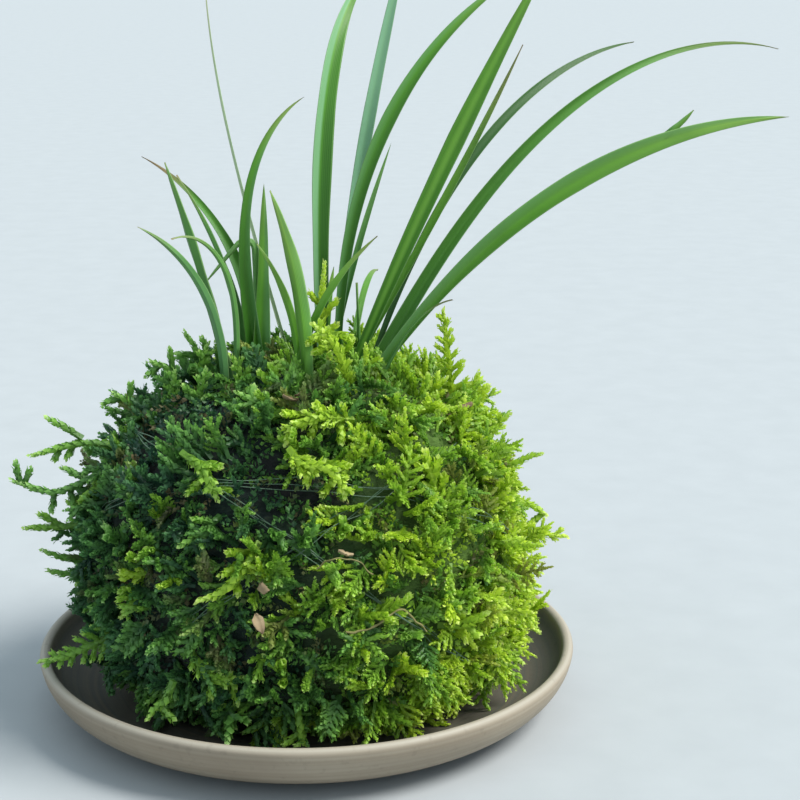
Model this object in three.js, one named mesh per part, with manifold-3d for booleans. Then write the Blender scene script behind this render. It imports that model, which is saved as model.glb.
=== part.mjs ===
// A kokedama: tufts of broad grass rooted in a ball of soil, which is wrapped in sheets of moss and bound with
// thread, standing in a shallow stoneware saucer.
//
// Millimetres, +Z up. The origin is the centre of the saucer's foot, on the surface that the saucer stands on.
// The front is -Y.

import * as THREE from "three";
import { mergeVertices } from "three/addons/utils/BufferGeometryUtils.js";
import Module from "manifold-3d";

const wasm = await Module();
wasm.setup();

// ---------------------------------------------------------------- driving dimensions

const GAP = 0.3; // air between pieces that touch
const SMALLEST = 0.05; // finer detail than this is smoothed away

const SAUCER = {
  rimRadius: 75,
  footRadius: 57,
  height: 17,
  floor: 5, // height of the inside floor
  floorRadius: 50,
  lip: 1.5, // radius of the rounded rim
  segments: 48,
};

// The ball is a squashed round: it sags on the saucer, so it is flatter and fuller below its middle.
const MIDDLE = 42; // height of the ball's widest level
const MOSS = { radius: 59.5, up: 55, down: 36.5 }; // reach of the moss mat sideways, up and down from the middle
const SOIL = { radius: 50, up: 41.5, down: 28 };
const FULLNESS = { up: 2.25, down: 3.2 }; // 2 is an ellipse, more is boxier

// The moss that covers the mat stands in small tufts, one tuft to a facet.
const TUFT = { detail: 5, height: 5, fingers: 0.4, finger: 10, comb: 0.8 };
const SHOOT = { count: 66, length: 12, radius: 1.8, sunk: 3.5 }; // the longer moss that stands out of it
const LUMP = 1.8; // how far the mat swells and sinks

const ROOM = 1.6; // how far the moss stands back from the grass where it comes out
const SEAMS = [-103, 17, 138]; // compass angles at which one moss sheet ends and the next begins
const WAVE = { swing: 5, pitch: 13, step: 20 }; // how far the seams wander sideways, and how often up the ball
const SHEETS = ["right", "back", "left"];

// ---------------------------------------------------------------- small helpers

const degrees = THREE.MathUtils.degToRad;
const direction = (heading, climb) =>
  new THREE.Vector3(
    Math.cos(degrees(heading)) * Math.cos(degrees(climb)),
    Math.sin(degrees(heading)) * Math.cos(degrees(climb)),
    Math.sin(degrees(climb)),
  );

// A seeded random number generator, so that every build is the same.
function seeded(seed) {
  let state = seed;
  return () => {
    state = (Math.imul(state, 1664525) + 1013904223) >>> 0;
    return state / 2 ** 32;
  };
}

// A three.js geometry as a manifold-3d solid.
function solidOf(geometry) {
  const bare = new THREE.BufferGeometry();
  bare.setAttribute("position", geometry.getAttribute("position"));
  bare.setIndex(geometry.index);
  const merged = mergeVertices(bare, 1e-4);
  return new wasm.Manifold(
    new wasm.Mesh({
      numProp: 3,
      vertProperties: merged.attributes.position.array,
      triVerts: new Uint32Array(merged.index.array),
    }),
  );
}

// The largest body of a manifold-3d solid as a three.js geometry. Cuts can leave loose scraps, which are dropped.
function geometryOf(solid) {
  const bodies = solid.decompose().sort((a, b) => b.volume() - a.volume());
  const mesh = bodies[0].simplify(SMALLEST).getMesh();
  const geometry = new THREE.BufferGeometry();
  geometry.setAttribute("position", new THREE.BufferAttribute(mesh.vertProperties, 3));
  geometry.setIndex(new THREE.BufferAttribute(mesh.triVerts, 1));
  geometry.computeVertexNormals();
  return geometry;
}

// A closed geometry through rings of points, each ring given as an array of Vector3, ending in flat caps.
// A ring of one point is a tip.
function skin(rings) {
  const points = [];
  const faces = [];
  const starts = rings.map((ring) => {
    const start = points.length;
    points.push(...ring);
    return start;
  });
  const cap = (start, count, flip) => {
    for (let i = 1; i + 1 < count; i++)
      faces.push(...(flip ? [start, start + i + 1, start + i] : [start, start + i, start + i + 1]));
  };
  rings.slice(1).forEach((ring, k) => {
    const [a, b] = [starts[k], starts[k + 1]];
    const n = rings[k].length;
    for (let i = 0; i < n; i++) {
      const j = (i + 1) % n;
      if (ring.length === 1) faces.push(a + i, a + j, b);
      else faces.push(a + i, a + j, b + j, a + i, b + j, b + i);
    }
  });
  cap(starts[0], rings[0].length, true);
  cap(starts.at(-1), rings.at(-1).length, false);
  const geometry = new THREE.BufferGeometry();
  geometry.setAttribute(
    "position",
    new THREE.Float32BufferAttribute(points.flatMap((p) => p.toArray()), 3),
  );
  geometry.setIndex(faces);
  return geometry;
}

// Two unit vectors square to a direction and to each other, so that u, v and the direction are right-handed.
function squareTo(along) {
  const helper = Math.abs(along.z) < 0.9 ? new THREE.Vector3(0, 0, 1) : new THREE.Vector3(1, 0, 0);
  const u = new THREE.Vector3().crossVectors(helper, along).normalize();
  const v = new THREE.Vector3().crossVectors(along, u);
  return [u, v];
}

// ---------------------------------------------------------------- the saucer

function saucerProfile() {
  const { rimRadius, footRadius, height, floor, floorRadius, lip } = SAUCER;
  const bevel = 0.8;
  const outside = new THREE.CubicBezierCurve(
    new THREE.Vector2(footRadius + bevel, bevel),
    new THREE.Vector2(footRadius + 9, 2.5),
    new THREE.Vector2(rimRadius - 1.2, 7),
    new THREE.Vector2(rimRadius, height - lip),
  );
  const inside = new THREE.CubicBezierCurve(
    new THREE.Vector2(rimRadius - 2 * lip, height - lip),
    new THREE.Vector2(rimRadius - 4.5, 9),
    new THREE.Vector2(floorRadius + 11, floor + 0.2),
    new THREE.Vector2(floorRadius, floor),
  );
  const rim = [45, 90, 135].map(
    (angle) =>
      new THREE.Vector2(
        rimRadius - lip + lip * Math.cos(degrees(angle)),
        height - lip + lip * Math.sin(degrees(angle)),
      ),
  );
  return [
    new THREE.Vector2(0, 0),
    new THREE.Vector2(footRadius, 0),
    ...outside.getPoints(4),
    ...rim,
    ...inside.getPoints(4),
    new THREE.Vector2(0, floor),
  ];
}

function saucerGeometry() {
  const lathe = new THREE.LatheGeometry(saucerProfile(), SAUCER.segments);
  return lathe.rotateX(Math.PI / 2); // the lathe's axis is +Y, and the saucer's is +Z
}

// ---------------------------------------------------------------- the ball's shape

// How far the ball reaches from its middle along a unit vector.
function reach(size, unit) {
  const level = unit.z > 0 ? size.up : size.down;
  const power = unit.z > 0 ? FULLNESS.up : FULLNESS.down;
  const sideways = Math.hypot(unit.x, unit.y) / size.radius;
  return (sideways ** power + (Math.abs(unit.z) / level) ** power) ** (-1 / power);
}

function onBall(size, unit, outwards = 0) {
  return unit
    .clone()
    .multiplyScalar(reach(size, unit) + outwards)
    .add(new THREE.Vector3(0, 0, MIDDLE));
}

// The gentle swells of the moss mat, from -1 to 1.
function swell(unit) {
  const { x, y, z } = unit;
  return (
    0.5 * Math.sin(5.1 * x + 2.3 * z + 0.4) * Math.cos(4.3 * y - 1.1) +
    0.5 * Math.sin(9.7 * y + 6.1 * z + 2.0) * Math.cos(8.9 * x + 0.7)
  );
}

const mossSurface = (unit, outwards = 0) => onBall(MOSS, unit, LUMP * swell(unit) + outwards);

// The way the moss lies at a place on the ball: downhill, and aside in slow swirls.
function comb(unit) {
  const { x, y, z } = unit;
  const lie = new THREE.Vector3(Math.sin(3.1 * y + 2.2 * z + 1), Math.sin(2.7 * z - 3.3 * x + 2), -0.9);
  return lie.addScaledVector(unit, -lie.dot(unit)).multiplyScalar(TUFT.comb);
}

function soilSolid(clearance) {
  const size = {
    radius: SOIL.radius + clearance,
    up: SOIL.up + clearance,
    down: SOIL.down + clearance,
  };
  const ball = new THREE.SphereGeometry(1, 22, 11).rotateX(Math.PI / 2);
  const position = ball.getAttribute("position");
  const point = new THREE.Vector3();
  for (let i = 0; i < position.count; i++) {
    point.fromBufferAttribute(position, i).normalize();
    position.setXYZ(i, ...onBall(size, point));
  }
  return solidOf(ball);
}

// ---------------------------------------------------------------- the binding thread

// Each turn of thread goes round the ball in a leaning plane, clear of the grass above and of the saucer below.
const THREAD = { radius: 0.55, sides: 3, steps: 26, lift: 1.3 };
const TURNS = [
  { towards: 205, tilt: 40 },
  { towards: 262, tilt: 36 },
  { towards: 330, tilt: 38 },
];

// A unit vector from the ball's middle to a turn of thread; the plane rises by tilt in the compass angle towards.
function turnDirection({ towards, tilt }, angle) {
  const uphill = direction(towards, tilt);
  const level = direction(towards + 90, 0);
  return uphill.multiplyScalar(Math.cos(angle)).addScaledVector(level, Math.sin(angle));
}

function threadSolid(radius) {
  const turns = TURNS.map((turn) => {
    const { sides, steps, lift } = THREAD;
    const positions = [];
    const faces = [];
    const upright = direction(turn.towards, turn.tilt + 90);
    for (let k = 0; k < steps; k++) {
      const out = turnDirection(turn, (2 * Math.PI * k) / steps);
      const centre = mossSurface(out, lift);
      for (let i = 0; i < sides; i++) {
        const angle = (2 * Math.PI * i) / sides;
        const point = centre
          .clone()
          .addScaledVector(out, radius * Math.cos(angle))
          .addScaledVector(upright, radius * Math.sin(angle));
        positions.push(...point.toArray());
      }
    }
    for (let k = 0; k < steps; k++)
      for (let i = 0; i < sides; i++) {
        const [a, b] = [k * sides, ((k + 1) % steps) * sides];
        const j = (i + 1) % sides;
        faces.push(a + i, b + i, b + j, a + i, b + j, a + j);
      }
    const ring = new THREE.BufferGeometry();
    ring.setAttribute("position", new THREE.Float32BufferAttribute(positions, 3));
    ring.setIndex(faces);
    return solidOf(ring);
  });
  return wasm.Manifold.union(turns);
}

// How near a unit vector comes to the thread, as a distance on the mat in millimetres.
function distanceToThread(unit) {
  const angles = TURNS.map(({ towards, tilt }) =>
    Math.abs(Math.asin(unit.dot(direction(towards, tilt + 90)))),
  );
  return MOSS.radius * Math.min(...angles);
}

// ---------------------------------------------------------------- the moss

// The mat: a round of facets, each raised to a short tuft or to a longer finger, whose tip leans at random.
function matSolid() {
  const random = seeded(11);
  const facets = new THREE.IcosahedronGeometry(1, TUFT.detail).getAttribute("position");
  const positions = [];
  const face = (...corners) => positions.push(...corners.flatMap((corner) => corner.toArray()));
  const raised = (unit, height) => mossSurface(unit, height).addScaledVector(comb(unit), height);
  for (let i = 0; i < facets.count; i += 3) {
    const corners = [0, 1, 2].map((k) => new THREE.Vector3().fromBufferAttribute(facets, i + k).normalize());
    const middle = corners[0].clone().add(corners[1]).add(corners[2]).normalize();
    const tip = middle.clone().lerp(corners[Math.floor(3 * random())], 0.4 * random()).normalize();
    const pressed = THREE.MathUtils.smoothstep(distanceToThread(middle), 2.5, 6);
    const isFinger = random() < TUFT.fingers;
    const height = (isFinger ? TUFT.finger : TUFT.height) * (0.5 + 0.7 * random()) * pressed;
    const peak = raised(tip, height);
    let feet = corners.map((corner) => mossSurface(corner));
    if (isFinger) {
      const waist = corners.map((corner) => {
        const inner = middle.clone().lerp(corner, 0.4).normalize();
        return raised(inner, 0.3 * height);
      });
      for (let k = 0; k < 3; k++) {
        const next = (k + 1) % 3;
        face(feet[k], feet[next], waist[next]);
        face(feet[k], waist[next], waist[k]);
      }
      feet = waist;
    }
    for (let k = 0; k < 3; k++) face(feet[k], feet[(k + 1) % 3], peak);
  }
  const geometry = new THREE.BufferGeometry();
  geometry.setAttribute("position", new THREE.Float32BufferAttribute(positions, 3));
  return solidOf(mergeVertices(geometry, 1e-4));
}

// Three points round a centre, square to a direction.
function triangle(centre, along, radius) {
  const [u, v] = squareTo(along);
  return [0, 1, 2].map((k) => {
    const angle = (2 * Math.PI * k) / 3;
    return centre
      .clone()
      .addScaledVector(u, radius * Math.cos(angle))
      .addScaledVector(v, radius * Math.sin(angle));
  });
}

// A bent three-sided spike from a root along two directions.
function spike(root, first, second, length, radius) {
  const elbow = root.clone().addScaledVector(first, 0.55 * length);
  const tip = elbow.clone().addScaledVector(second, 0.45 * length);
  return solidOf(skin([triangle(root, first, radius), triangle(elbow, first, 0.85 * radius), [tip]]));
}

// Points spread evenly over the ball, as unit vectors, by the golden angle.
function* spread(count) {
  for (let i = 0; i < count; i++) {
    const height = 1 - (2 * i + 1) / count;
    yield direction(i * 137.508, (Math.asin(height) * 180) / Math.PI);
  }
}

// The shoots: spikes that stand out of the mat, leaning at random and hanging a little.
function shootSolids() {
  const random = seeded(7);
  const shoots = [];
  for (const unit of spread(SHOOT.count)) {
    const [u, v] = squareTo(unit);
    const angle = 2 * Math.PI * random();
    const sideways = u.multiplyScalar(Math.cos(angle)).addScaledVector(v, Math.sin(angle));
    const size = 0.7 + 0.6 * random();
    if (distanceToThread(unit) < 3) continue;
    const first = unit.clone().addScaledVector(sideways, 0.7).normalize();
    const second = unit
      .clone()
      .addScaledVector(sideways, 1.6)
      .add(new THREE.Vector3(0, 0, -0.5))
      .normalize();
    const root = mossSurface(unit, -SHOOT.sunk);
    shoots.push(spike(root, first, second, SHOOT.sunk + SHOOT.length * size, SHOOT.radius * size));
  }
  return shoots;
}

// The strays: single shoots that stand well out of the ball. Each has a depth y, the reach of the feathery barbs on
// its first finger, and fingers that run through points [x, z] at that depth.
const STRAYS = {
  antlerLeft: {
    depth: -8,
    fingers: [
      [[-50, 76], [-61, 77], [-74, 74]],
      [[-60, 78], [-64, 80], [-69, 84]],
      [[-62, 77], [-64, 72]],
    ],
  },
  forkedLeft: {
    depth: -10,
    fingers: [
      [[-55, 69], [-66, 64], [-72, 64], [-79, 67]],
      [[-77, 66], [-78, 72]],
      [[-68, 64], [-69, 58]],
      [[-58, 66], [-66, 70]],
    ],
  },
  pairLeft: { depth: -6, fingers: [[[-58, 53], [-71, 52], [-77, 52]], [[-66, 52], [-73, 56]]] },
  lowPairLeft: { depth: -4, fingers: [[[-56, 41], [-68, 43], [-73, 45]], [[-56, 38], [-67, 38], [-72, 39]]] },
  overRimLeft: { depth: -30, feathers: 7, fingers: [[[-48, 32], [-63, 25], [-71, 23]]] },
  hookLeft: { depth: 2, fingers: [[[-33, 84], [-37, 95], [-42, 97]], [[-35, 90], [-37, 100]]] },
  curlsLeft: { depth: 6, fingers: [[[-25, 84], [-28, 97], [-33, 104]], [[-27, 95], [-35, 98]]] },
  curlsOuter: { depth: 0, fingers: [[[-43, 76], [-47, 85], [-52, 88]], [[-48, 85], [-47, 91]]] },
  tallFern: { depth: 4, feathers: 10, fingers: [[[42, 70], [40, 92], [38, 110]], [[44, 68], [50, 80]]] },
  shoulder: { depth: 4, feathers: 6, fingers: [[[44, 69], [52, 75], [57, 80]]] },
  thinRight: { depth: 0, fingers: [[[50, 64], [60, 69], [64, 70]]] },
  bentRight: { depth: -6, fingers: [[[51, 60], [61, 58], [65, 55]]] },
  longFern: { depth: -14, feathers: 7, fingers: [[[46, 55], [60, 52], [71, 50]]] },
  midRight: { depth: -8, fingers: [[[50, 39], [61, 39], [65, 37]], [[52, 35], [64, 33]]] },
  lowRight: { depth: -12, fingers: [[[50, 26], [60, 24], [64, 21]]] },
  overhangRight: { depth: -26, feathers: 5, fingers: [[[42, 23], [54, 21], [58, 18]]] },
  backFern: { depth: 44, feathers: 8, fingers: [[[18, 70], [22, 86], [20, 98]]] },
  backLeft: { depth: 46, feathers: 6, fingers: [[[-24, 62], [-30, 78], [-34, 88]]] },
  backRight: { depth: 30, feathers: 6, fingers: [[[42, 34], [54, 37], [62, 35]]] },
};
const FINGER = { radius: 1.1, barb: 0.8, barbs: 4 };

// A three-sided finger through points, from a root of a given radius to a fine tip.
function fingerSolid(points, radius) {
  const rings = points.map((point, k) => {
    if (k === points.length - 1) return [point];
    const before = points[Math.max(k - 1, 0)];
    const along = new THREE.Vector3().subVectors(points[k + 1], before).normalize();
    return triangle(point, along, radius * (1 - (0.35 * k) / points.length));
  });
  return solidOf(skin(rings));
}

function straySolids() {
  return Object.values(STRAYS).flatMap(({ depth, feathers = 0, fingers }) => {
    const lines = fingers.map((line) => line.map(([x, z]) => new THREE.Vector3(x, depth, z)));
    const stem = new THREE.CatmullRomCurve3(lines[0]);
    const barbs = Array.from({ length: feathers ? FINGER.barbs : 0 }, (_, k) => {
      const share = 0.4 + 0.13 * k;
      const along = stem.getTangent(share);
      const across = new THREE.Vector3(-along.z, 0, along.x).multiplyScalar(k % 2 ? -1 : 1);
      const foot = stem.getPoint(share);
      const tip = foot.clone().addScaledVector(along.add(across).normalize(), feathers * (1.25 - share));
      return fingerSolid([foot, tip], FINGER.barb);
    });
    return [...lines.map((line) => fingerSolid(line, FINGER.radius)), ...barbs];
  });
}

// A thin wavy wall that stands outwards from the ball's axis and parts two moss sheets.
function seamWall(seam, phase) {
  const [behind, beyond, top] = [8, 120, 120];
  const edge = (side) => {
    const points = [];
    for (let z = 0; z <= top; z += WAVE.step)
      points.push(new THREE.Vector2(WAVE.swing * Math.sin(z / WAVE.pitch + phase) + (side * GAP) / 2, z));
    return points;
  };
  const ribbon = new THREE.Shape([...edge(1), ...edge(-1).reverse()]);
  const outwards = direction(seam, 0);
  const stand = new THREE.Matrix4()
    .makeBasis(direction(seam + 90, 0), new THREE.Vector3(0, 0, 1), outwards)
    .setPosition(outwards.clone().multiplyScalar(-behind));
  const wall = new THREE.ExtrudeGeometry(ribbon, { depth: behind + beyond, bevelEnabled: false });
  return solidOf(wall.applyMatrix4(stand));
}

// The hole that the moss leaves for a tuft: round its crown, then wide enough for its blades as they spread.
function mossHole({ crown: [x, y, radius], blades }) {
  const top = 106;
  const passing = blades.map((blade) => bladePoints(blade, 40).find((point) => point.centre.z > top).centre);
  const middle = passing.reduce((sum, point) => sum.add(point), new THREE.Vector3()).divideScalar(blades.length);
  const reachOut = Math.max(...passing.map((point) => Math.hypot(point.x - middle.x, point.y - middle.y)));
  const ring = (centre, size) =>
    Array.from({ length: 10 }, (_, i) => direction(36 * i, 0).multiplyScalar(size).add(centre));
  return solidOf(
    skin([
      ring(new THREE.Vector3(x, y, CROWN.bottom), radius + ROOM),
      ring(new THREE.Vector3(x, y, FOOT), radius + ROOM),
      ring(middle.setZ(top), reachOut + 2 * ROOM),
    ]),
  );
}

function mossSheets(saucer) {
  const holes = Object.values(TUFTS).map(mossHole);
  const walls = SEAMS.map((seam, i) => seamWall(seam, 2 * i));
  const bodies = wasm.Manifold.union([matSolid(), ...shootSolids(), ...straySolids()])
    .subtract(soilSolid(GAP))
    .subtract(wasm.Manifold.union([...holes, ...walls]))
    .subtract(threadSolid(THREAD.radius + GAP))
    .subtract(saucer.translate([0, 0, GAP]))
    .decompose();
  // A sheet is the largest body between its two seams.
  const turn = (angle) => ((angle % 360) + 360) % 360;
  return SHEETS.map((name, i) => {
    const span = turn(SEAMS[(i + 1) % SEAMS.length] - SEAMS[i]);
    const own = bodies.filter((body) => {
      const { min, max } = body.boundingBox();
      const heading = (Math.atan2(min[1] + max[1], min[0] + max[0]) * 180) / Math.PI;
      return turn(heading - SEAMS[i]) < span;
    });
    return { name, geometry: geometryOf(wasm.Manifold.compose(own)) };
  });
}

// ---------------------------------------------------------------- the grass

const CROWN = { bottom: 62, top: 88, sides: 8 }; // heights of the rooted stub below each tuft
const FOOT = 84; // height at which the blades leave their crown
const BLADE = {
  thickness: 0.7,
  keel: 0.16, // how far it is creased, next to its width
  narrowest: 1.2, // least width at the foot
  fullAt: 0.6, // share of its length at which it is at full width
  taper: 4,
  lengthPerStep: 14,
  turnPerStep: 15,
  foldSpan: 0.12, // share of its length that a fold takes up
};

// Each blade leaves its foot at lean degrees from upright, in the compass angle heading, and has leant over by droop
// more at its tip. Bend 1 is an even curve, and more keeps it straight for longer. Turn swings its flat face round,
// from edge on (0) to square on (90) to the plane that it bends in. A broken blade has fallen over by fold degrees at
// the share foldAt of its length. The sheath is how wide a blade is at its foot, next to its full width, which is a
// tuft's own unless a blade has another. A blade with a small taper starts to narrow early.
const TUFTS = {
  far_left: {
    crown: [-20.5, -3, 5],
    sheath: 0.8,
    blades: [
      { foot: [-22, -5], heading: 199, lean: -3, droop: 65, bend: 1.5, length: 60, width: 2.6, turn: 60 },
      { foot: [-20, -1], heading: 162, lean: 11, droop: 7, bend: 1, length: 69, width: 3.8, turn: 70 },
      { foot: [-19, -4], heading: 219, lean: -4, droop: 107, bend: 3, length: 61, width: 1.8, turn: 50 },
    ],
  },
  left: {
    crown: [-14, 5, 5.5],
    sheath: 1.3,
    blades: [
      { foot: [-13, 7], heading: 148, lean: -11, droop: 81, bend: 1, length: 82, width: 3.6, turn: -60, taper: 2 },
      { foot: [-16.5, 8], heading: 174, lean: -2, droop: 35, bend: 1, length: 66, width: 2.4, turn: 60, taper: 2.5 },
      { foot: [-11.5, 4], heading: 27, lean: -8, droop: 72, bend: 3, length: 90, width: 2.9, turn: 65 },
      { foot: [-12.3, 1.5], heading: 60, lean: 5, droop: -2, bend: 1, length: 61, width: 3.4, turn: 30 },
      {
        ...{ foot: [-13, 4], heading: 180, lean: -2, droop: 6, bend: 1, length: 64, width: 2.2, turn: 65 },
        ...{ fold: 136, foldAt: 0.72 },
      },
    ],
  },
  front: {
    crown: [-1.5, -15, 5],
    sheath: 0.5,
    blades: [
      { foot: [0, -17], heading: 180, lean: -4, droop: 23, bend: 1, length: 63, width: 4.8, turn: 70 },
      { foot: [-3, -14], heading: 187, lean: -12, droop: 45, bend: 1, length: 50, width: 2.6, turn: 65 },
      { foot: [-3, -14], heading: 1, lean: 0, droop: 49, bend: 1, length: 56, width: 2.4, turn: 65 },
    ],
  },
  centre: {
    crown: [5, 8, 5.5],
    sheath: 0.35,
    blades: [
      { foot: [5, 6], heading: 66, lean: -3, droop: 84, bend: 3, length: 129, width: 6.5, turn: 40 },
      { foot: [7.5, 10], heading: 35, lean: 6, droop: 13, bend: 1, length: 134, width: 4.2, turn: 60 },
      { foot: [6, 11], heading: 16, lean: 10, droop: 11, bend: 1, length: 73, width: 2, turn: 60 },
      { foot: [1.5, 5], heading: 123, lean: -7, droop: 32, bend: 1, length: 41, width: 2, turn: -50 },
      { foot: [3.8, 3.8], heading: 59, lean: 5, droop: 18, bend: 1, length: 38, width: 2.8, turn: 60 },
      { foot: [-1, 9.5], heading: 135, lean: 22, droop: -21, bend: 3, length: 124, width: 1.2, turn: -60 },
    ],
  },
  right: {
    crown: [12, -2, 6.5],
    sheath: 0.3,
    blades: [
      { foot: [9.5, 2.4], heading: 12, lean: -1, droop: 62, bend: 1.5, length: 133, width: 4.4, turn: 65 },
      { foot: [9, -1], heading: -2, lean: 22, droop: 6, bend: 1, length: 133, width: 5.6, turn: 70 },
      { foot: [8, 3], heading: 5, lean: 29, droop: -4, bend: 3, length: 110, width: 2.4, turn: 60 },
      { foot: [14.5, 1], heading: 36, lean: 23, droop: 63, bend: 1.5, length: 149, width: 3, turn: 60 },
      {
        ...{ foot: [13, -3], heading: 22, lean: 32, droop: 72, bend: 2, length: 177, width: 4.6, turn: 60 },
        ...{ sheath: 0.9, taper: 1.6 },
      },
      {
        ...{ foot: [12, -6.5], heading: -2, lean: 34, droop: 54, bend: 1.5, length: 146, width: 6.2, turn: 62 },
        split: { at: 0.73, droop: -30, length: 17, width: 2 },
      },
      { foot: [17, -5.5], heading: -38, lean: 27, droop: 48, bend: 3, length: 45, width: 1.6, turn: 50, taper: 1.2 },
      { foot: [12, 3], heading: 77, lean: 12, droop: 91, bend: 1, length: 60, width: 2.2, turn: 40 },
      { foot: [14.2, 3.8], heading: 112, lean: -9, droop: 15, bend: 1, length: 34, width: 1.8, turn: 60 },
    ],
  },
};

// How wide a blade is at a share of its length: from its sheath's width to full width, then narrower to the tip.
function widthAt(share, { width, sheath, taper = BLADE.taper }) {
  const start = Math.max(sheath * width, BLADE.narrowest);
  return THREE.MathUtils.lerp(start, width, Math.min(1, share / BLADE.fullAt)) * (1 - share ** taper) ** 0.9;
}

// Evenly spaced points on a blade's middle line, each with its share of the length and the direction there.
function bladePoints({ foot, heading, lean, droop, bend, length, fold = 0, foldAt = 1 }, steps) {
  const fine = 6; // short steps between points, which follow the curve
  const half = BLADE.foldSpan / 2;
  const folded = (share) => fold * THREE.MathUtils.smoothstep(share, foldAt - half, foldAt + half);
  const directionAt = (share) => direction(heading, 90 - lean - droop * share ** bend - folded(share));
  const [x, y, z = FOOT] = foot;
  const centre = new THREE.Vector3(x, y, z);
  const points = [];
  for (let k = 0; k <= steps * fine; k++) {
    const share = k / steps / fine;
    if (k % fine === 0) points.push({ share, along: directionAt(share), centre: centre.clone() });
    centre.addScaledVector(directionAt(share + 0.5 / steps / fine), length / steps / fine);
  }
  return points;
}

// A narrow second tip, which parts from a blade at a share of its length and curves away from it.
function splitTip(blade) {
  const { at, ...tip } = blade.split;
  const { centre } = bladePoints(blade, 100)[Math.round(100 * at)];
  return { ...blade, ...tip, foot: centre.toArray(), lean: blade.lean + blade.droop * at ** blade.bend, bend: 1 };
}

function bladeSolid(blade) {
  const turning = Math.abs(blade.droop) + (blade.fold ?? 0);
  const steps = Math.max(5, Math.round(blade.length / BLADE.lengthPerStep), Math.round(turning / BLADE.turnPerStep));
  const level = direction(blade.heading + 90, 0);
  const thin = BLADE.thickness / 2;
  const rings = bladePoints(blade, steps).map(({ share, along, centre }) => {
    if (share === 1) return [centre];
    const across = level.clone().applyAxisAngle(along, degrees(blade.turn));
    const face = new THREE.Vector3().crossVectors(along, across);
    const half = widthAt(share, blade) / 2;
    const rise = 2 * BLADE.keel * half * (1.6 - share);
    const at = (side, up) => centre.clone().addScaledVector(across, side).addScaledVector(face, up);
    const right = [at(half, rise - thin), at(half, rise + thin)];
    const left = [at(-half, rise + thin), at(-half, rise - thin)];
    return [...right, at(0, thin), ...left, at(0, -thin)];
  });
  return solidOf(skin(rings));
}

function crownSolid([x, y, radius], clearance) {
  const { bottom, top, sides } = CROWN;
  const height = top - bottom + clearance;
  const stub = new THREE.CylinderGeometry(radius + clearance, 0.4 * radius + clearance, height, sides)
    .rotateX(Math.PI / 2)
    .translate(x, y, top - height / 2);
  return solidOf(stub);
}

function tuftSolid({ crown, sheath, blades }) {
  const tips = blades.filter((blade) => blade.split).map(splitTip);
  const leaves = [...blades, ...tips].map((blade) => bladeSolid({ sheath, ...blade }));
  return wasm.Manifold.union([crownSolid(crown, 0), ...leaves]);
}

// ---------------------------------------------------------------- the whole

const MATERIALS = {
  stoneware: new THREE.MeshStandardMaterial({ color: 0x8f8578, roughness: 0.7, metalness: 0 }),
  brightMoss: new THREE.MeshStandardMaterial({ color: 0x6f9c28, roughness: 0.85, metalness: 0 }),
  darkMoss: new THREE.MeshStandardMaterial({ color: 0x3d6b24, roughness: 0.85, metalness: 0 }),
  soil: new THREE.MeshStandardMaterial({ color: 0x2e2318, roughness: 0.95, metalness: 0 }),
  thread: new THREE.MeshStandardMaterial({ color: 0x7f9c78, roughness: 0.45, metalness: 0 }),
  grass: new THREE.MeshStandardMaterial({ color: 0x3a7a22, roughness: 0.5, metalness: 0 }),
};

const kokedama = new THREE.Group();

function add(name, geometry, material) {
  const mesh = new THREE.Mesh(geometry, MATERIALS[material]);
  mesh.name = name;
  kokedama.add(mesh);
}

const saucer = saucerGeometry();
const sockets = wasm.Manifold.union(Object.values(TUFTS).map(({ crown }) => crownSolid(crown, GAP)));

add("saucer", saucer, "stoneware");
add("soil_ball", geometryOf(soilSolid(0).subtract(sockets)), "soil");
for (const { name, geometry } of mossSheets(solidOf(saucer)))
  add(`moss_sheet_${name}`, geometry, name === "left" ? "darkMoss" : "brightMoss");
add("binding_thread", geometryOf(threadSolid(THREAD.radius)), "thread");
for (const [name, tuft] of Object.entries(TUFTS))
  add(`grass_tuft_${name}`, geometryOf(tuftSolid(tuft)), "grass");

export default kokedama;
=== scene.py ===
"""A kokedama: a ball of soil wrapped in shaggy moss, with tufts of grass, in a stoneware saucer.

Lengths are in millimetres until a mesh is made, which is in metres. +Z is up, and the front is -Y.
"""

import math
from collections import namedtuple

import bpy
import numpy as np
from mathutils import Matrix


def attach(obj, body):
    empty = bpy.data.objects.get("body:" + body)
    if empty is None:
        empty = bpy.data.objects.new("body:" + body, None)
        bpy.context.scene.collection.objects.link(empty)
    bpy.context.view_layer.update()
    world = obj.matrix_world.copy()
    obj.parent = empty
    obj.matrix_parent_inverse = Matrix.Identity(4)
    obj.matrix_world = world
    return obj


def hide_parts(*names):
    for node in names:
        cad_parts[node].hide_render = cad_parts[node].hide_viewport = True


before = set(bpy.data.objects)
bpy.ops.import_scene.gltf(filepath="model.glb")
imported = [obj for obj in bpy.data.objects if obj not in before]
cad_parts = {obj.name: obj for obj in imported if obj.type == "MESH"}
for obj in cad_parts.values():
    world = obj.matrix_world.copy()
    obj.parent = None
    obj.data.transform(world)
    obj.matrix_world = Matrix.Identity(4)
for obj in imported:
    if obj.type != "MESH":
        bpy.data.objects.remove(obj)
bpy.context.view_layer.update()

MM = 0.001

# ---------------- sizes, as in the solids

SAUCER = dict(rim=75.0, foot=57.0, height=17.0, floor=5.0, floor_radius=50.0, lip=1.5, bevel=0.8)

MIDDLE = 42.0  # height of the ball's widest level
MOSS = dict(radius=59.5, up=55.0, down=36.5)  # reach of the moss mat from the ball's middle
SOIL = dict(radius=50.0, up=41.5, down=28.0)
FULLNESS = dict(up=2.25, down=3.2)  # 2 is an ellipse, more is boxier
LUMP = 1.8  # how far the mat swells and sinks

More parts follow.
